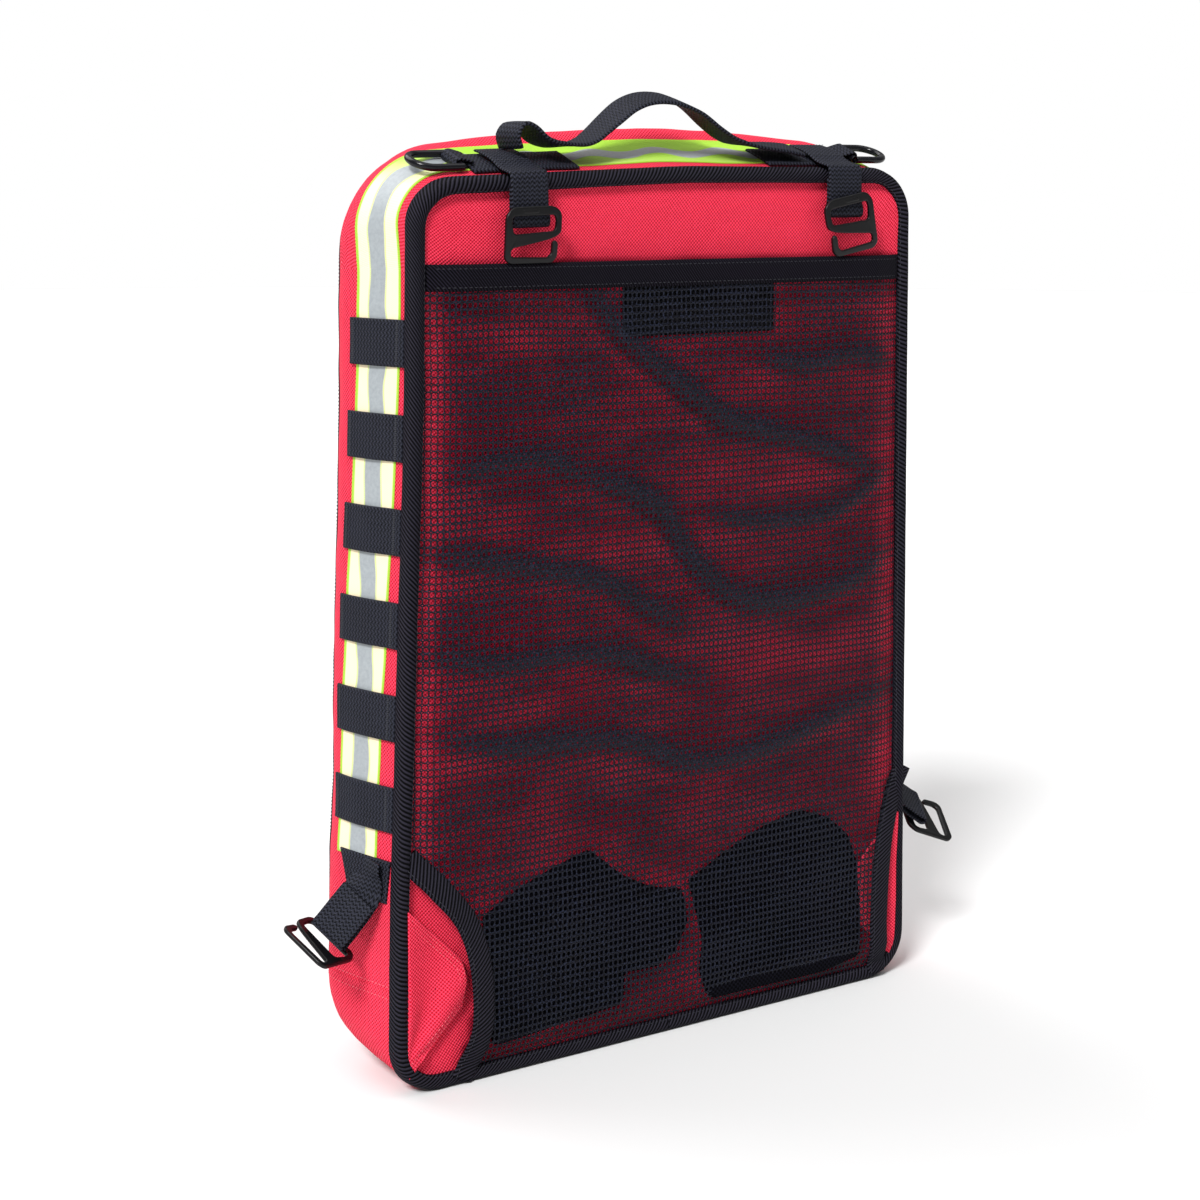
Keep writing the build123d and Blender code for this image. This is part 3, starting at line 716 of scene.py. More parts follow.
# folds of the slack knit: (x, z) points along each and how far it stands out, in mm
FOLDS = [
    ([(-68, 452), (-47, 425), (-13, 399), (15, 380), (43, 364), (88, 351), (127, 338), (155, 322)], 2.4, 7),
    ([(-165, 303), (-131, 297), (-93, 289), (-53, 279), (-26, 265), (9, 246)], 2.0, 8),
    ([(-80, 344), (-40, 332), (-13, 319), (8, 291), (38, 264), (82, 254), (128, 261), (163, 278)], 2.6, 8),
    ([(-165, 246), (-119, 239), (-80, 240), (-40, 234), (-12, 222), (20, 214)], 2.0, 7),
    ([(-159, 204), (-119, 192), (-73, 188), (-26, 180), (17, 164), (76, 168), (165, 190)], 2.4, 8),
    ([(-150, 345), (-120, 352), (-90, 350), (-70, 338)], 1.6, 7),
    ([(60, 402), (95, 396), (130, 400), (160, 392)], 2.0, 7),
    ([(20, 312), (70, 304), (120, 306), (160, 330)], 1.6, 6),
]


def fold_field(X, Z):
    """Height of the folds at (x, z), 0 to about 1 each, weighted by how far each stands out."""
    lift, shade = np.zeros_like(X), np.zeros_like(X)
    for points, high, wide in FOLDS:
        p = np.array(smooth_path(np.array(points, float), 5.0))
        d = np.full(X.shape, 1e9)
        at = np.zeros_like(X)
        for i, (x, z) in enumerate(p):
            r = np.hypot(X - x, Z - z)
            at = np.where(r < d, i / (len(p) - 1), at)
            d = np.minimum(d, r)
        fade = np.clip(np.minimum(at, 1 - at) * 5 + 0.25, 0, 1)
        bell = np.exp(-(d / (0.78 * wide)) ** 2) * fade
        lift += high * bell
        shade = np.maximum(shade, bell)
    return lift, shade


def pocket_depth(X, Z):
    """Depth of the pocket's knit in front of the panel; negative is towards the wearer's back."""
    inset = inset_of(X, Z)
    slope = np.interp(inset, [4.5, 9.0, 14.0, 20.0, 28.0, 60.0], [-0.6, -2.2, -4.6, -6.6, -8.3, -8.8])
    lift, _ = fold_field(X, Z)
    slack = np.clip((inset - 12) / 30, 0, 1) * np.clip((HEM_LOW + 8 - Z) / 40, 0.15, 1)
    return slope - slack * (0.55 * lift - 0.8 + 0.9 * fbm_xz(X, Z * 1.7, 70.0, 2.2))


# free edges of the pocket's two lower corners: distance out from the middle, and height
CURVES = {"left": np.array([(190.0, 143.0), (170.6, 139.8), (152.0, 119.6), (136.5, 99.4), (128.3, 74.6),
                            (126.0, 44.9), (130.0, 24.0), (137.0, 8.0), (142.0, -4.0)]),
          "right": np.array([(190.0, 150.0), (176.0, 140.0), (166.0, 121.0), (158.5, 99.4), (155.0, 74.6),
                             (153.5, 44.9), (154.5, 24.0), (156.0, 8.0), (157.0, -4.0)])}


def pocket_edge(x, z):
    """How far out the knit reaches at each point's height, on the point's own side."""
    left, right = (np.interp(z, c[::-1, 1], c[::-1, 0]) for c in (CURVES["left"], CURVES["right"]))
    return np.where(x < 0, left, right)


def knit():
    """Open knit: rows of oval holes with a small diamond between every four."""
    px, pz, nick = 3.2, 3.95, 0.40
    hx, hz = px / 2, pz / 2
    cx, cz = np.meshgrid(np.arange(-57, 58) * px, 5.0 + np.arange(0, 113) * pz)
    cx, cz = cx.ravel(), cz.ravel()
    edge_x = pocket_edge(cx, cz)
    inside = (inset_of(cx, cz) > 4.6) & (cz < HEM_LOW + 3)
    inside &= (np.abs(cx) < edge_x + 2.5) | (cz > 143)
    cx, cz = cx[inside], cz[inside]
    _, shade = fold_field(cx, cz)
    open_share = 0.90 - 0.54 * shade + 0.15 * fbm_xz(cx, cz * 1.6, 46.0, 9.0) \
        + 0.05 * fbm_xz(cx, cz * 1.6, 15.0, 3.0)
    open_share += 0.16 * np.clip((np.abs(cx) - 150) / 14, 0, 1)
    open_share = np.clip(open_share, 0.38, 1.10)
    outer = np.array([(hx, hz - nick), (hx - nick, hz), (nick - hx, hz), (-hx, hz - nick),
                      (-hx, nick - hz), (nick - hx, -hz), (hx - nick, -hz), (hx, nick - hz)])
    angle = np.radians([31, 62, 118, 149, 211, 242, 298, 329])
    hole = np.stack([np.cos(angle) * (hx - 0.36) * 1.1, np.sin(angle) * (hz - 0.40) * 1.02], 1)
    n = len(cx)
    base = np.stack([cx, cz], 1)[:, None, :]
    rim_points = (base + outer[None]).reshape(-1, 2)
    hole_points = (base + hole[None] * open_share[:, None, None]).reshape(-1, 2)
    unique, index = np.unique(np.round(rim_points, 2), axis=0, return_inverse=True)
    index = np.asarray(index).reshape(n, 8)
    flat = np.vstack([unique, hole_points])
    holes = len(unique) + np.arange(n * 8).reshape(n, 8)
    k = np.roll(np.arange(8), -1)
    faces = np.stack([index, index[:, k], holes[:, k], holes], 2).reshape(-1, 4)
    X, Z = flat.T
    depth = pocket_depth(X, Z)
    depth[:len(unique)] -= 0.22
    depth[len(unique):] += 0.14
    points = np.stack([X + 0.9 * fbm_xz(X, Z * 1.5, 55.0, 6.0), REAR_Y + depth,
                       Z + 1.6 * fbm_xz(X, Z * 1.5, 80.0, 11.0)], 1)
    piece = build("knit_pocket", points, faces, KNIT, "pack_body", flat, "mesh_pocket")
    p = flat[faces]
    turned = np.roll(p, -1, axis=1)
    area = 0.5 * np.abs(np.sum(p[..., 0] * turned[..., 1] - p[..., 1] * turned[..., 0], axis=1)).sum()
    return piece, area


knit_piece, thread_area = knit()
# painted shade: the knit keeps light off the panel behind it, so the panel's red is painted darker there,
# least along its left edge and where it hangs in rows
X, Z = back[..., 0], back[..., 2]
hidden = (Z < HEM_HIGH) & ((np.abs(X) < pocket_edge(X, Z) + 6) | (Z > 143))
_, shade = fold_field(X, Z)
# a band just under each fold gets less of the painted shade, painted lighter
_, painted_light_under_fold = fold_field(X, Z + 13.0)
cover = 0.84 + 0.9 * shade - 0.42 * painted_light_under_fold * (1 - shade) + 0.28 * fbm_xz(X, Z * 5.0, 40.0, 21.0) \
    + 0.60 * fbm_xz(X, Z * 2.2, 75.0, 14.0) + 0.25 * fbm_xz(X, Z * 2.2, 24.0, 2.0)
# less painted shade along the left edge, for light coming in from the left, and a little less along the right
# edge
cover -= 0.75 * np.exp(-((X + half_width(Z) - 11) / 7) ** 2) * (Z > 130)
cover -= 0.45 * np.exp(-((half_width(Z) - X - 12) / 8) ** 2)
cover = np.clip(cover, 0.12, 1.3) * hidden
attribute = rear.data.attributes.new("cover", "FLOAT", "POINT")
attribute.data.foreach_set("value", np.concatenate([cover.ravel()] * 2).astype(np.float32))

# hem of the pocket, and the bound curves of its two lower corners
xs = np.linspace(-167.5, 167.5, 150)
zs = spaced(HEM_LOW - 0.5, HEM_HIGH + 0.3, 2.0, 2.0)
X, Z = np.meshgrid(xs, zs)
ripple = 0.5 * fbm_xz(X, Z * 0.4, 30.0, 4.4)
low = pocket_depth(X, np.minimum(Z, 446.0)) * np.clip((174 - np.abs(X)) / 14, 0, 1) ** 0.6
inner = np.stack([X, REAR_Y + low + 0.35 + ripple, Z], 2)
round_off = edge_fall(xs, zs, 2.2).T
round_off[0] = round_off[-1] = 0.5
outer = inner - np.stack([X * 0, 2.1 * round_off, X * 0], 2)
slab("pocket_hem_tape", inner, outer, HEM, "pack_body", np.stack([X, Z], 2), "pocket_hem")
for row, z in (("low", HEM_LOW + 1.6), ("high", HEM_HIGH - 2.2)):
    x = np.linspace(-163, 163, 120)
    y = np.interp(x, xs, outer[len(zs) // 2, :, 1]) - 0.05
    stitches(f"hem_stitches_{row}", [(np.stack([x, y, x * 0 + z], 1), (0, -1, 0))], "pack_body",
             pitch=3.0, size=2.2)
for side, s in (("left", 1), ("right", -1)):
    k = 6.0 / math.hypot(1, 0.9)
    line = smooth_path([(-x - k, z - 0.9 * k) for x, z in CURVES[side][1:]], 4.0)
    line = line[line[:, 1] > 2.5]
    y = REAR_Y + pocket_depth(line[:, 0], np.maximum(line[:, 1], 12.0)) - 0.7
    y = np.maximum(y, REAR_Y - 9.3)
    path = np.stack([s * line[:, 0], y, line[:, 1]], 1)
    run = np.gradient(path, axis=0)
    across = np.cross(run, (0, 1, 0))
    ribbon(f"corner_tape_{side}", path, across, 13.4, 1.9, BINDING, "pack_body",
           f"corner_binding_{side}", crown=0.5)
    out = across / np.linalg.norm(across, axis=1, keepdims=True)
    stitches(f"corner_tape_stitches_{side}", [(path - out * 4.6 + (0, -1.35, 0), (0, -1, 0))], "pack_body")


def pad(name, outline, depth0, thick, material, body, replaces=(), edge=3.0, step=4.0,
        wave_high=0.0, seed=0.0, creases=None):
    """Soft plate on the rear panel from an (x, z) outline, rounded at its border."""
    p = np.array(outline, float)
    q = np.vstack([p, p[:1]])
    s = run_along(q)
    ring_xz = at_lengths(q, s, np.linspace(0, s[-1], int(s[-1] / step) + 1))
    middle = p.mean(0)
    reach = np.linalg.norm(ring_xz - middle, axis=1)
    insets = [0.0, 0.35, 1.0, 2.0, 3.5]
    rows = [ring_xz + (middle - ring_xz) * np.minimum(i / reach, 0.9)[:, None] for i in insets]
    last = rows[-1]
    rows += [middle + (last - middle) * t for t in np.linspace(1, 0.02, max(4, int(reach.max() / step)))[1:]]
    G = np.array(rows)
    away = np.concatenate([insets, np.full(len(rows) - len(insets), 99.0)])
    t = np.clip(away / edge, 0, 1)
    height = (0.25 + 0.75 * np.sqrt(1 - (1 - t) ** 2))[:, None] * np.ones(G.shape[:2])
    X, Z = G[..., 0], G[..., 1]
    bumps = wave_high * fbm_xz(X, Z, 22.0, seed)
    if creases is not None:
        bumps = bumps + creases(X, Z)
    base = REAR_Y + depth0
    outer = np.stack([X, base - thick * height - bumps * (t[:, None] > 0.5), Z], 2)
    inner = np.stack([X, np.full(X.shape, base), Z], 2)
    return slab(name, inner, outer, material, body, G, replaces)


pad("hook_and_loop_patch", [(-34.8, 415), (73.2, 415), (73.2, 444), (-34.8, 444)], -0.05, 1.4, LOOP,
    "pack_body", "loop_patch", 1.0)
STOWED = {
    "left": [(-127.0, 94.0), (-104.0, 106.0), (-82.0, 114.0), (-56.0, 121.0), (-33.0, 102.0), (-12.0, 91.0),
             (9.0, 86.0), (13.0, 66.0), (4.0, 49.0), (-10.0, 42.0), (-33.0, 43.0), (-34.0, 24.0),
             (-121.0, 18.0)],
    "right": [(15.0, 90.0), (38.0, 101.0), (63.0, 112.0), (98.0, 120.0), (120.0, 112.0), (135.0, 99.0),
              (142.0, 82.0), (146.0, 45.0), (146.0, 18.0), (116.0, 13.0), (30.0, 14.0), (23.6, 31.0),
              (25.6, 52.0)]}
for side, outline in STOWED.items():
    pad(f"stowed_strap_{side}", outline, -0.6, 5.6, HARNESS, "pack_body", f"stowed_harness_{side}",
        3.5, 5.0, 0.7, 3.0)


def flap_creases(x, z):
    """Pulled folds that fan out from the foot of the flap and run across its tip."""
    reach = np.hypot(np.abs(x) - 176, z - 18)
    turn = np.arctan2(z - 18, 176 - np.abs(x))
    fan = np.sin(turn * 9.0 + 0.6 * np.sin(reach / 13.0)) * np.clip(reach / 30, 0, 1)
    tip = np.sin((np.abs(x) * 0.35 + z) / 5.2) * np.clip((158 - np.abs(x)) / 14, 0, 1)
    return 1.5 * fan + 0.6 * tip


for side, s in (("left", 1), ("right", -1)):
    corner = [(-175.5, 107.5), (-166.0, 98.0), (-140.5, 72.0), (-138.0, 61.0), (-140.5, 45.0), (-166.0, 19.0),
              (-175.5, 9.5)]
    outline = [(s * x, z) for x, z in corner]
    pad(f"corner_flap_cloth_{side}", outline, -0.1, 3.0, RED, "pack_body", f"corner_flap_{side}",
        1.0, 2.0, 0.5, 5.0, flap_creases)
    lines = []
    for e in (2.4, 5.2):
        upper = [(-174.0, 106.0 - 1.45 * e), (-166.0, 98.0 - 1.45 * e), (-140.5 - e, 72.0 - 0.5 * e),
                 (-138.4 - e, 61.0)]
        lower = [(-138.4 - e, 61.0), (-140.5 - e, 45.0 + 0.5 * e), (-166.0, 19.0 + 1.45 * e),
                 (-174.0, 11.0 + 1.45 * e)]
        for part in (upper, lower):
            x, z = smooth_path(part, 3.0).T
            lines.append((np.stack([s * x, REAR_Y - 3.15 - flap_creases(x, z), z], 1), (0, -1, 0)))
    stitches(f"corner_flap_stitches_{side}", lines, "pack_body", RED_THREAD, 2.8, 2.1)


# ---------------------------------------------------------------- tape, bars, zip
def layer(name, depths, part, material, body, replaces, low=None, high=None, count=60, edge=1.2,
          wander=False):
    """Thin strip lying on the body between two depths. A strip that wanders has the tape's drift, and
    joins the next one at its top end or, over the head, at both ends."""
    lift, thick = 0.1, 0.6
    P = band(depths, part, low, high, count)
    if wander:
        was = P[..., 1] - REAR_Y
        now = was - drift(P[..., 2])
        every = np.arange(0, LID_D + 1)
        bulge = [profile(d)[0] for d in every]
        P = P + outward(P) * (np.interp(now, every, bulge) - np.interp(was, every, bulge))[..., None]
        P[..., 1] = REAR_Y + now
    size = lengths(P)
    joins = (0.0, 0.0) if not wander else (100.0, 100.0) if part == "top" else (0.0, 100.0)
    fall = edge_fall(np.asarray(depths, float), size[len(depths) // 2, :, 0], edge, joins)
    inner = skin(P, lift)
    outer = inner + outward(P) * (thick * fall)[..., None]
    piece = slab(name, inner, outer, material, body, size, replaces)
    if wander:
        piece.data.set_sharp_from_angle(angle=math.radians(55))


def drift(z):
    """How far the side tapes run off their line towards the rear panel, in mm."""
    return np.interp(z, [130, 200, 300, 400, 455, 505], [-4.0, -2.5, 0.5, 4.5, 4.5, 0.0])


tape_depths = spaced(TAPE_IN, TAPE_OUT, 2.6, 1.2)
for side in ("left", "right"):
    layer(f"bright_tape_{side}", tape_depths, side, TAPE, "pack_body", f"tape_{side}",
          low=TAPE_LOW, high=HIGH_CUT, count=110, wander=True)
layer("bright_tape_head", tape_depths, "top", TAPE, "pack_body", "tape_top",
      low=HIGH_CUT, count=64, wander=True)
for name, d0, d1, body, node_name in (("zip_tape_inner", 66.0, 74.5, "pack_body", "zip_tape_body"),
                                      ("zip_tape_outer", 75.6, 84.0, "lid", "zip_tape_lid")):
    layer(name, spaced(d0, d1, 2.4, 0.8), "top", ZIP_TAPE, body, node_name,
          low=HINGE_Z + 8.0, count=190, edge=0.8)


def zip_coil(name, depth, body, shift):
    """One side of the zip: a close row of coil turns."""
    line = smooth_path(skin(band([depth - 0.5, depth, depth + 0.5], "top", HINGE_Z + 8.0, None, 300), 1.1)[1],
                       2.1)
    T = np.gradient(line, axis=0)
    T /= np.linalg.norm(T, axis=1, keepdims=True)
    N = np.cross(T, (0, 1, 0))
    N *= np.sign(np.sum(N * (line - (0, REAR_Y + 50, 250)), 1, keepdims=True))
    B = np.cross(T, N)
    points, faces = [], []
    shape = [(-0.62, -1.25, 0.0), (0.62, -1.25, 0.0), (0.62, 1.25, 0.0), (-0.62, 1.25, 0.0),
             (-0.36, -0.9, 0.85), (0.36, -0.9, 0.85), (0.36, 0.9, 0.85), (-0.36, 0.9, 0.85)]
    for i in range(len(line) - 1):
        c = line[i] + T[i] * shift
        start = len(points)
        points += [c + T[i] * x + B[i] * y + N[i] * z for x, y, z in shape]
        faces += [tuple(start + k for k in f) for f in
                  ((4, 5, 6, 7), (0, 1, 5, 4), (1, 2, 6, 5), (2, 3, 7, 6), (3, 0, 4, 7), (3, 2, 1, 0))]
    return build(name, points, faces, COIL, body)


zip_coil("zip_coil_inner", 74.1, "pack_body", 0.0)
zip_coil("zip_coil_outer", 76.0, "lid", 1.05)


def side_grid(s, zs, ds):
    """Grid on one side wall, from heights and depths; s is -1 on the left and 1 on the right."""
    Z, D = grid(zs, ds)
    bulge = np.array([profile(d)[0] for d in ds])[None, :]
    return np.stack([s * (half_width(Z) + bulge), REAR_Y + D, Z], 2)


for side, s in (("left", -1), ("right", 1)):
    tacks = []
    for k in range(BARS):
        top = BAR_TOP - PITCH * k
        end = 51.0 - np.interp(top, [150, 300, 440], [-1.0, 1.5, 6.5])
        zs, ds = spaced(top - WEBBING, top, 2.6, 1.4), spaced(5.4, end, 2.4, 1.4)
        P = side_grid(s, zs, ds)
        lift = 0.75 + 0.9 * np.sin(np.clip((ds - 12) / 36, 0, 1) * math.pi)[None, :]
        inner, N = skin(P, lift), outward(P)
        outer = inner + N * (1.55 * edge_fall(zs, ds, 1.0))[..., None]
        slab(f"webbing_bar_{side}_{k + 1}", inner, outer, WEB, "pack_body", lengths(P),
             f"bars_{side}" if k == 0 else ())
        for d0 in (8.2, end - 4.8):
            for z in np.arange(top - WEBBING + 1.6, top - 1.2, 1.0):
                i = np.abs(zs - z).argmin()
                a, b = (np.array([np.interp(d, ds, outer[i, :, 0]), REAR_Y + d, z]) for d in (d0, d0 + 2.6))
                up = np.array([s * 0.15, 0, 0])
                tacks.append((np.array([a + up, b + up]), (s, 0, 0)))
    stitches(f"bar_tacks_{side}", tacks, "pack_body", pitch=2.6, size=2.5, wide=0.75, high=0.4)
    # seam between the side wall and the foot wall, with its two rows of thread
    for row, z in (("a", LOW_CUT + 3.6), ("b", LOW_CUT - 3.0)):
        P = side_grid(s, [z - 1, z, z + 1], np.linspace(7, 70, 30))
        stitches(f"foot_seam_{side}_{row}", [(skin(P, 0.35 if row == "b" else 0.05)[1], (s, 0, 0))],
                 "pack_body", RED_THREAD, 3.0, 2.2)


# ---------------------------------------------------------------- handle, strap ends and D-rings
def top_grid(xs, ds):
    """Grid on the head."""
    D, X = grid(ds, xs)
    rise = np.array([profile(d)[1] for d in ds])[:, None]
    return np.stack([X, REAR_Y + D, HEAD_Z + rise + 0 * X], 2)


for side, x0, x1 in (("left", -131.0, -60.0), ("right", 76.0, 136.0)):
    xs, ds = spaced(x0, x1, 3.0, 1.2), spaced(9.0, 33.0, 2.6, 1.2)
    P = top_grid(xs, ds)
    inner = skin(P, 0.75)
    outer = inner + outward(P) * (1.6 * edge_fall(ds, xs, 1.0))[..., None]
    slab(f"anchor_strip_{side}", inner, outer, WEB, "pack_body", lengths(P), f"handle_anchor_{side}")
    ds = np.linspace(11, 31, 9)
    rise = [HEAD_Z + profile(d)[1] + 2.35 for d in ds]
    tacks = [(np.stack([np.full(9, x), REAR_Y + ds, rise], 1), (0, 0, 1))
             for x in np.arange(x0 + 6, x1 - 2, 8.0)]
    stitches(f"anchor_tacks_{side}", tacks, "pack_body", pitch=2.4, size=2.0)


# the handle's path: x, depth and height
GRIP = [(-100.5, 20, 524.0), (-102.5, 20, 531.5), (-98.0, 19.5, 537.3), (-91.0, 19, 535.0),
        (-83.0, 18.5, 528.6), (-73.0, 18.5, 525.6), (-58.0, 19, 524.8), (-48.0, 19.5, 526.8),
        (-40.0, 20, 531.2), (-31.0, 20, 537.4), (-18.0, 20, 545.6), (-4.0, 20, 549.4), (12.0, 20, 548.4),
        (27.0, 20, 543.0), (41.0, 20, 533.6), (51.0, 19.5, 527.6), (60.0, 19, 524.6), (71.0, 19, 523.0),
        (90.0, 19.5, 522.0), (103.0, 20, 520.6)]
handle = ribbon("webbing_handle", [(x, REAR_Y + d, z) for x, d, z in GRIP],
                [(0, 1, 0.02), (0, 1, -0.05), (0, 1, 0.22), (0, 1, 0.28), (0, 1, 0.05), (0, 1, 0.3)],
                [24.5, 24.5, 24.0, 23.0, 24.0, 25.0, 25.0, 24.0, 24.5, 24.5], 2.3, WEB, None,
                ("carry_handle", "handle_end_left", "handle_end_right"), crown=0.3)
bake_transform(handle)

# the G-hook's outline, its slot for the webbing and the stamped mark over it: x and z from its top
HOOK_EDGE = [(-14, 0), (13, 0), (18.6, -4), (18.2, -16.8), (12, -19.8), (4, -21.6), (-5, -23.4),
             (-14.9, -25.4), (-15.3, -30.4), (9.4, -31.0), (11.7, -28.6), (11.8, -22.4), (13.7, -20.6),
             (15.8, -22.6), (15.6, -31.0), (12.4, -34.4), (-15.5, -34.6), (-18.8, -31.6), (-18.2, -5)]
HOOK_SLOT = [(-13.8, -5.6), (13.8, -5.6), (14.9, -8.6), (14.0, -15.2), (-13.4, -16.8), (-14.6, -9)]
HOOK_STAMP = [(-7.5, -1.9), (2.5, -1.9), (2.5, -3.9), (-7.5, -3.9)]
HOOK_BAR = -9.7  # z of the middle of the slot, where the webbing pulls


def rounded(points, radius):
    """Closed outline with its corners rounded."""
    p, out = np.array(points, float), []
    for i in range(len(p)):
        a, b, c = p[i - 1], p[i], p[(i + 1) % len(p)]
        r = min(radius, 0.45 * np.linalg.norm(a - b), 0.45 * np.linalg.norm(c - b))
        start, stop = b + (a - b) / np.linalg.norm(a - b) * r, b + (c - b) / np.linalg.norm(c - b) * r
        for t in np.linspace(0, 1, 6):
            out.append((1 - t) ** 2 * start + 2 * t * (1 - t) * b + t * t * stop)
    return np.array(out)


def plate(outlines, half, soft):
    """Flat plate with rounded edges: points (x, thickness, z) and faces."""
    curve = bpy.data.curves.new("plate", "CURVE")
    curve.dimensions, curve.fill_mode = "2D", "BOTH"
    curve.extrude, curve.bevel_depth, curve.bevel_resolution, curve.offset = half - soft, soft, 3, -soft
    for outline in outlines:
        spline = curve.splines.new("POLY")
        spline.points.add(len(outline) - 1)
        spline.points.foreach_set("co", np.hstack([outline, np.zeros((len(outline), 1)),
                                                   np.ones((len(outline), 1))]).ravel())
        spline.use_cyclic_u = True
    obj = bpy.data.objects.new("plate", curve)
    mesh = bpy.data.meshes.new_from_object(obj)
    co = np.array([v.co[:] for v in mesh.vertices])
    faces = [tuple(f.vertices) for f in mesh.polygons]
    bpy.data.objects.remove(obj)
    bpy.data.curves.remove(curve)
    bpy.data.meshes.remove(mesh)
    return co[:, [0, 2, 1]], faces


def hook_piece(name, node_name, side, origin, x_way, y_way, spin=0.0):
    """Stamped G-hook. origin is the middle of its top edge; x_way runs across it, y_way to its back."""
    z_way = x_way.cross(y_way)
    co, faces = plate([rounded(HOOK_EDGE, 3.2), rounded(HOOK_SLOT, 2.4)], 1.25, 0.85)
    stamp, stamp_faces = plate([rounded(HOOK_STAMP, 0.9)], 1.50, 0.35)
    faces += [tuple(len(co) + k for k in f) for f in stamp_faces]
    co = np.vstack([co, stamp])
    if side == "right":
        co[:, 0] *= -1
        faces = [q[::-1] for q in faces]
    co[:, 1] += 1.4 * np.clip((-co[:, 2] - 18.0) / 16.0, 0, 1) ** 2
    a = math.radians(spin)
    x, z = co[:, 0].copy(), co[:, 2] - HOOK_BAR
    co[:, 0], co[:, 2] = x * math.cos(a) + z * math.sin(a), z * math.cos(a) - x * math.sin(a) + HOOK_BAR
    world = np.array(origin) + co[:, :1] * np.array(x_way) + co[:, 1:2] * np.array(y_way) \
        + co[:, 2:] * np.array(z_way)
    return build(name, world, faces, METAL, node_name, None, node_name)


for side, x, top, sunk in (("left", -106.0, HEAD_Z - 14.5, 0.0050), ("right", 120.0, HEAD_Z - 13.0, 0.0)):
    bar = top + HOOK_BAR
    fold = [(31, 523.6), (22, 521.6), (13, 518.4), (5, 514.2), (-2.5, 512.1), (-6.0, 511.2), (-7.6, 508.0),
            (-7.7, 503.0), (-7.9, bar + 7.4), (-9.3, bar + 3.0), (-9.7, bar + 0.2), (-8.8, bar - 2.1),
            (-6.9, bar - 2.7), (-5.2, bar - 1.7), (-4.75, bar + 0.4), (-5.8, bar + 5.0), (-6.1, bar + 9.0),
            (-6.1, 504.0)]
    strap = ribbon(f"webbing_strap_upper_{side}", [(x, REAR_Y + d, z) for d, z in fold], (1, 0, 0), 24.8,
                   1.35, WEB, None, (f"upper_root_{side}", f"upper_strap_{side}"), step=1.0)
    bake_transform(strap)
    hook_piece(f"g_hook_upper_{side}", f"upper_hook_{side}", side, Vector((x, REAR_Y - 12.0, top)),
               Vector((1, 0, 0)), Vector((0, 1, 0)), 0.0 if side == "left" else -11.0)
    rows = [(np.array([(x - 10.5, REAR_Y + d, z), (x + 10.5, REAR_Y + d, z)]), (0, -0.3, 1))
            for d, z in ((26.0, 524.0), (10.0, 518.2))]
    stitches(f"strap_stitches_upper_{side}", rows, "pack_body", pitch=2.2, size=1.7)

for side, s in (("left", -1), ("right", 1)):
    slant = Vector((-s * 0.34, -0.80, -0.495)).normalized()
    down = (Vector((0, 0, -1)) + slant * slant.z).normalized()
    outer_way = slant.cross(down) * s
    swing = math.radians({"left": 26.0, "right": 48.0}[side])
    drop = down * math.cos(swing) + outer_way * math.sin(swing)
    x_axis, z_axis = slant * s, -drop
    y_axis = z_axis.cross(x_axis)
    root = Vector((s * 192.337, -20.0, 113.0))

    def at(y, z):
        return tuple(root + y_axis * y + z_axis * z)

    wall_x = s * (half_width(128.0) + 8.2)
    fold = [(wall_x, -19.0, 132.0), (wall_x + s * 0.6, -19.0, 124.0), (wall_x + s * 2.6, -19.6, 118.0),
            at(-0.9, 0.0), at(-2.6, -8.0), at(-3.2, -16.5), at(-3.0, -22.6), at(-3.0, -27.2),
            at(-1.9, -29.1), at(-0.4, -29.5), at(1.2, -28.6), at(1.7, -26.4), at(1.2, -21.5),
            at(1.0, -10.0), at(0.7, -1.0)]
    sides = [Vector((0, -1, 0)), Vector((0, -1, 0)), slant.lerp(Vector((0, -1, 0)), 0.5)] + [slant] * 12
    strap = ribbon(f"webbing_strap_lower_{side}", fold, [tuple(v) for v in sides], 24.6, 1.35, WEB, None,
                   (f"lower_strap_{side}",), step=1.0)
    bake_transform(strap)
    turn = math.radians({"left": 74.0, "right": 16.0}[side])
    pivot = root + z_axis * -27.0
    y_way = y_axis * math.cos(turn) + z_axis * math.sin(turn)
    z_way = z_axis * math.cos(turn) - y_axis * math.sin(turn)
    hook_piece(f"g_hook_lower_{side}", f"lower_hook_{side}", side, pivot - z_way * HOOK_BAR - y_way * 5.0,
               x_axis, y_way)
    zs, ds = spaced(109.0, 133.0, 3.0, 1.2), spaced(6.5, 46.0, 2.6, 1.2)
    P = side_grid(s, zs, ds)
    taper = (zs[:, None] - 109.0) / 24.0
    P[..., 1] = REAR_Y + 26.0 + (P[..., 1] - REAR_Y - 26.0) * (0.62 + 0.38 * taper) - 5.0 * (1 - taper)
    inner = skin(P, 0.1)
    outer = inner + outward(P) * (2.0 * edge_fall(zs, ds, 1.2))[..., None]
    slab(f"sewn_patch_{side}", inner, outer, WEB, "pack_body", lengths(P), f"lower_patch_{side}")

RING_TILT = math.atan2(6.0, 16.0)
for side, s, ring_x in (("left", -1, -137.0), ("right", 1, 143.0)):
    lift = HEAD_Z + 6.0 + 3.0 + 0.7 + 2.1 + 0.5
    c, q = math.cos(RING_TILT), math.sin(RING_TILT)
    fold = [(-s * 8.5, 0.6), (-s * 4.0, 2.0), (0.0, 2.95), (s * 2.1, 2.1), (s * 2.95, 0.0), (s * 2.1, -2.1),
            (0.0, -2.95), (-s * 4.0, -1.6), (-s * 8.5, -0.5)]
    path = [(ring_x + x, REAR_Y + 21 - z * q, lift + z * c) for x, z in fold]
    ribbon(f"ring_loop_{side}", path, (0, c, q), 16.0, 1.25, WEB, "pack_body", f"d_ring_loop_{side}",
           step=0.8)

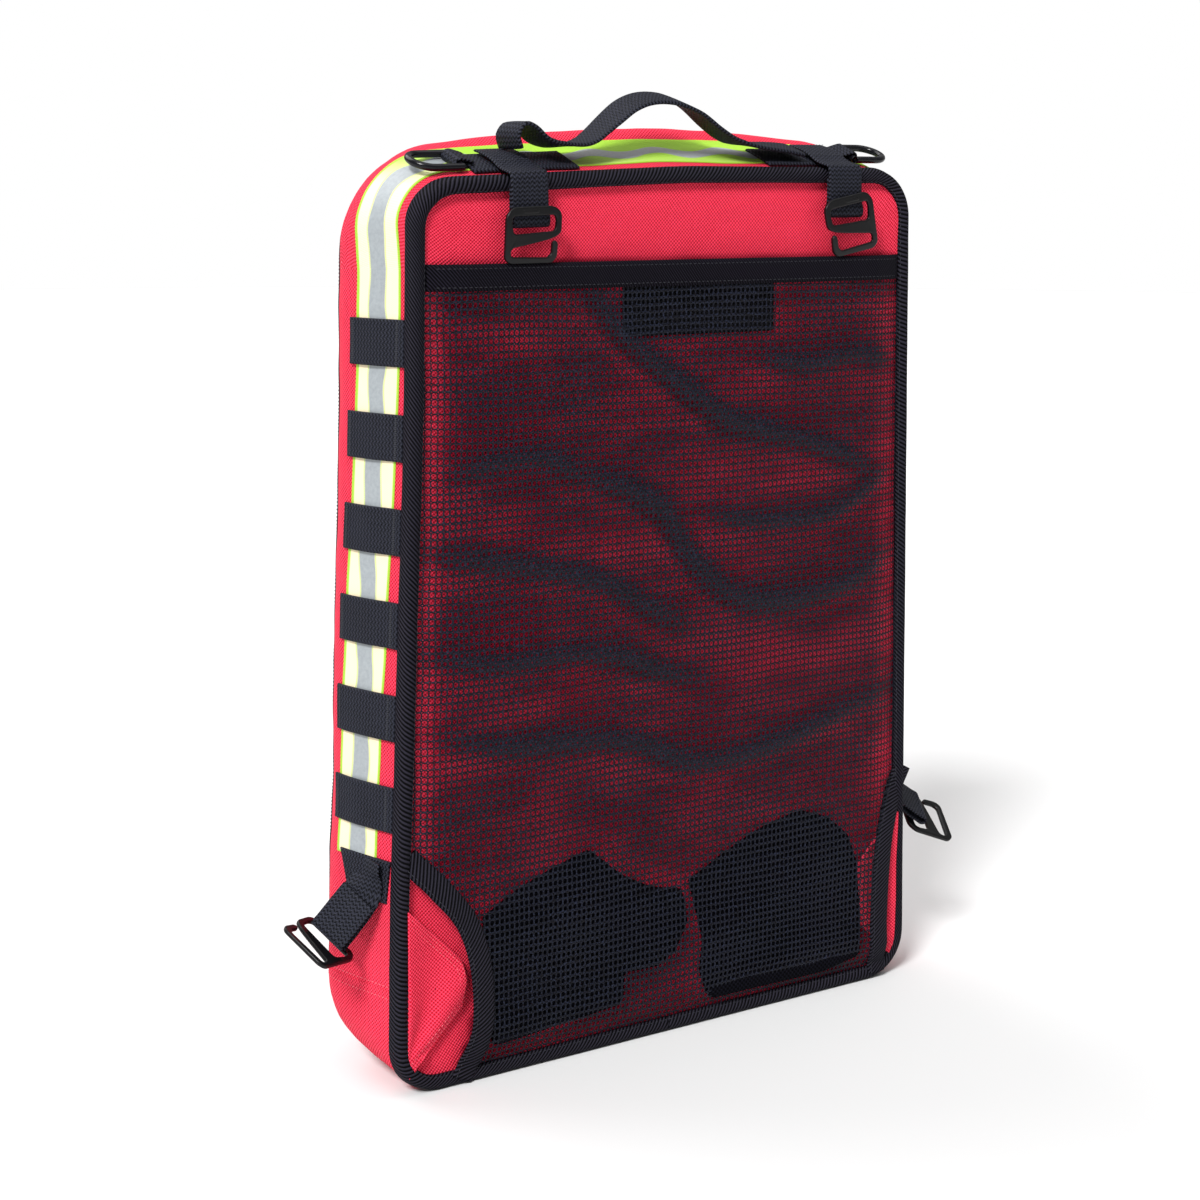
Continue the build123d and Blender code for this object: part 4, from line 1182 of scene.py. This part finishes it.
# ---------------------------------------------------------------- inside: shelves, keepers, pouch
for name, z in (("shelf_lower", 172.0), ("shelf_upper", 336.0)):
    w = half_width(z) - 3.8
    xs, ds = spaced(-w, w, 6.0, 3.0), spaced(11.9, 70.0, 4.0, 3.0)
    D, X = grid(ds, xs)
    quilt = 0.5 * np.abs(np.sin(X / 84.0 * math.pi)) + 0.5
    half = 2.95 * edge_fall(ds, xs, 3.0) * (0.72 + 0.28 * np.sqrt(quilt))
    mid = np.stack([X, REAR_Y + D, np.full_like(X, z + 3.0)], 2)
    off = np.stack([X * 0, X * 0, half], 2)
    slab(f"padded_{name}", mid - off, mid + off, SHELF, "pack_body", np.stack([X, D], 2), name)


def keeper(name, half, z0, z1, depth, towards, body, loops, replaces):
    """Elastic band tacked down between standing loops, 1.2 mm thick."""
    x0, x1 = -half, half
    xs, zs = np.linspace(x0, x1, loops * 14 + 1), spaced(z0, z1, 4.0, 1.0)
    Z, X = grid(zs, xs)
    hump = np.abs(np.sin((X - x0) / (x1 - x0) * loops * math.pi)) ** 0.6 * 4.0 * towards
    inner = np.stack([X, REAR_Y + depth + hump, Z], 2)
    outer = inner + np.array([0, towards * 1.2, 0])
    slab(name, inner, outer, ELASTIC, body, np.stack([X, Z], 2), replaces)


for i, z in enumerate((80.0, 240.0, 400.0)):
    keeper(f"keeper_lining_{i + 1}", 140, z, z + 38.0, 11.9, 1, "pack_body", 5,
           "lining_elastic" if i == 0 else ())
for i, z in enumerate((300.0, 380.0)):
    keeper(f"keeper_lid_{i + 1}", 118, z, z + 40.0, 96.6, -1, "lid", 4, "lid_elastic" if i == 0 else ())
xs, zs = spaced(-125, 125, 6.0, 3.0), np.linspace(60, 250, 34)
Z, X = grid(zs, xs)
near = np.minimum(np.minimum(X + 125, 125 - X), Z - 60)
pouch = 96.6 - 8.0 * np.sqrt(1 - (1 - np.clip(near / 14.0, 0, 1)) ** 2) + 0.5 * fbm_xz(X, Z, 30.0)
pouch = np.clip(pouch, 88.0, 96.8)
inner = np.stack([X, REAR_Y + pouch + 0.9, Z], 2)
outer = np.stack([X, REAR_Y + pouch, Z], 2)
slab("lid_pouch", inner, outer, HEM, "lid", np.stack([X, Z], 2), "lid_pocket")


# ---------------------------------------------------------------- front face of the lid
def on_front(xs, zs, lift):
    """Grid on the lid's front, raised by a lift in mm."""
    Z, X = grid(zs, xs)
    P = np.stack([X, REAR_Y + LID_D + front_bulge(X, Z), Z], 2)
    return P + np.array([0, 1.0, 0]) * (crumple(P) + lift)[..., None]


def front_strip(name, half, z0, z1, material, thick, replaces):
    """Strip sewn across the lid's front."""
    xs, zs = spaced(-half, half, 3.5, 1.2), spaced(z0, z1, 3.0, 1.2)
    inner = on_front(xs, zs, 0.1)
    outer = inner + np.array([0, 1.0, 0]) * (thick * edge_fall(zs, xs, 1.2))[..., None]
    Z, X = grid(zs, xs)
    slab(name, inner, outer, material, "lid", np.stack([X, Z - z0], 2), replaces)


front_strip("front_loop_pile", 75, 320, 420, LOOP, 1.4, "front_loop_panel")
front_strip("front_bright_tape", 128, 254, 286, TAPE, 0.7, "front_tape")
tacks = []
for i in range(3):
    z = 96.0 + PITCH * i
    front_strip(f"front_webbing_{i + 1}", 124, z, z + WEBBING, WEB, 1.7,
                "front_webbing" if i == 0 else ())
    for x in np.arange(-114, 115, 38.0):
        for dz in np.arange(2.0, WEBBING - 1.5, 1.1):
            a = on_front(np.array([x - 1.3, x + 1.3]), np.array([z + dz]), 1.95)[0]
            tacks.append((a, (0, 1, 0)))
stitches("front_tacks", tacks, "lid", pitch=2.6, size=2.5, wide=0.7, high=0.4)
corners = [(-72, 323), (72, 323), (72, 417), (-72, 417), (-72, 323)]
lines = []
for (ax, az), (bx, bz) in zip(corners, corners[1:]):
    P = np.array([on_front(np.array([ax + (bx - ax) * k]), np.array([az + (bz - az) * k]), 1.55)[0, 0]
                  for k in np.linspace(0, 1, 30)])
    lines.append((P, (0, 1, 0)))
stitches("front_panel_stitches", lines, "lid")

# fabric hinge of the lid: a strip of red cloth, shaped in one fixed bend
xs = np.linspace(-118, 118, 60)
turn = np.array([(92.2, 23.4), (93.6, 25.6), (95.0, 28.0), (96.3, 30.4), (97.4, 32.6), (98.2, 34.8),
                 (98.9, 37.2), (99.4, 39.6), (99.9, 42.0)])
X = np.repeat(xs[None, :], len(turn), 0)
outer = np.stack([X, REAR_Y + turn[:, :1] + 1.6 + 0 * X, turn[:, 1:] - 0.8 + 0 * X], 2)
inner = outer - np.array([0, 1.2, -0.5])
hinge = slab("lid_hinge_cloth", inner, outer, RED, None, None, ())
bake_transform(hinge)


# ---------------------------------------------------------------- CAD pieces that keep their shape
def keep_shape(name, node_name, body, material):
    """A CAD metal part's own shape, leaned with the cloth round it, its edges rounded."""
    mesh = NODES[node_name].data
    co = np.array([v.co[:] for v in mesh.vertices]) / MM
    piece = build(name, co, [tuple(f.vertices) for f in mesh.polygons], material, body, None, node_name)
    weld = piece.modifiers.new("weld", "WELD")
    weld.merge_threshold = 0.00001
    bevel = piece.modifiers.new("bevel", "BEVEL")
    bevel.width, bevel.segments = 0.0003, 2
    bevel.limit_method, bevel.angle_limit = "ANGLE", math.radians(50)


for name, node_name, material, slot in (("foam_sheet", "rear_foam", FOAM, "foam"),
                                        ("stiff_sheet", "frame_sheet", ZIP_METAL, "frame_plastic")):
    low, high = (np.array(corner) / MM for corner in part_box(node_name))
    inset = max(3.0, float(half_width(np.array(low[2])) - high[0]))
    slab(name, panel(high[1] - REAR_Y, inset, 12.0, 22.0), panel(low[1] - REAR_Y, inset, 12.0, 22.0),
         material, "pack_body", None, node_name)
for side in ("left", "right"):
    keep_shape(f"wire_ring_{side}", f"d_ring_{side}", f"ring_{side}", RING_METAL)
    keep_shape(f"slider_shell_{side}", f"zip_slider_{side}", f"slider_{side}", ZIP_METAL)
    keep_shape(f"pull_tab_{side}", f"zip_pull_{side}", f"pull_{side}", ZIP_METAL)

# ---------------------------------------------------------------- floor, light and camera
FLOOR_RADIUS, FLOOR_SIDES = 9.0, 96
floor_mesh = bpy.data.meshes.new("studio_floor")
turns = np.linspace(0, 2 * math.pi, FLOOR_SIDES, endpoint=False)
floor_mesh.from_pydata([(FLOOR_RADIUS * math.cos(t), FLOOR_RADIUS * math.sin(t), 0.0) for t in turns], [],
                       [tuple(range(FLOOR_SIDES))])
floor = bpy.data.objects.new("studio_floor", floor_mesh)
floor_mat, tree, shader = new_material("pale_floor")
plug(tree, shader, Base_Color=mix(place_noise(tree, 900.0), (0.68, 0.68, 0.68), (0.70, 0.70, 0.70)),
     Roughness=0.9, Specular_IOR_Level=0.1)
floor_mesh.materials.append(floor_mat)
bpy.context.scene.collection.objects.link(floor)

world = bpy.data.worlds.new("studio")
bpy.context.scene.world = world
world.use_nodes = True
sky = world.node_tree
seen = node(sky, "LightPath").outputs["Is Camera Ray"]
power = node(sky, "MapRange", None, Value=seen, To_Min=0.30, To_Max=1.0)  # white behind, dimmer as light
plug(sky, sky.nodes["Background"], i0=(1.0, 1.0, 1.0, 1), i1=power.outputs[0])


def sun_light(name, towards, strength, softness):
    """Even soft light from a direction."""
    data = bpy.data.lights.new(name, "SUN")
    data.energy, data.angle = strength, math.radians(softness)
    light = bpy.data.objects.new(name, data)
    light.rotation_euler = Vector(towards).to_track_quat("Z", "Y").to_euler()
    bpy.context.scene.collection.objects.link(light)


sun_light("key_light", (-0.62, -0.42, 0.70), 3.7, 16)
sun_light("back_light", (-0.30, 0.72, 0.85), 1.5, 45)
sun_light("top_light", (0.15, -0.15, 1.0), 1.0, 60)

CAMERA_PLACE, LENS, SENSOR, SHIFT_UP = (-0.696, -1.038, 0.501), 63.9, 36.0, -0.108  # metres, then mm
pitch, turn_right, roll = math.radians(-7.69), math.radians(33.0), math.radians(0.17)
forward = Vector((math.sin(turn_right) * math.cos(pitch), math.cos(turn_right) * math.cos(pitch),
                  math.sin(pitch)))
level = Vector((math.cos(turn_right), -math.sin(turn_right), 0))
up = level.cross(forward)
cam_x = level * math.cos(roll) + up * math.sin(roll)
cam_y = up * math.cos(roll) - level * math.sin(roll)
camera_data = bpy.data.cameras.new("camera")
camera_data.lens, camera_data.sensor_width, camera_data.shift_y = LENS, SENSOR, SHIFT_UP
camera = bpy.data.objects.new("camera", camera_data)
axes = Matrix((cam_x, cam_y, -forward)).transposed().to_4x4()
camera.matrix_world = Matrix.Translation(CAMERA_PLACE) @ axes
bpy.context.scene.collection.objects.link(camera)
bpy.context.scene.camera = camera
bpy.context.scene.view_settings.view_transform = "Standard"
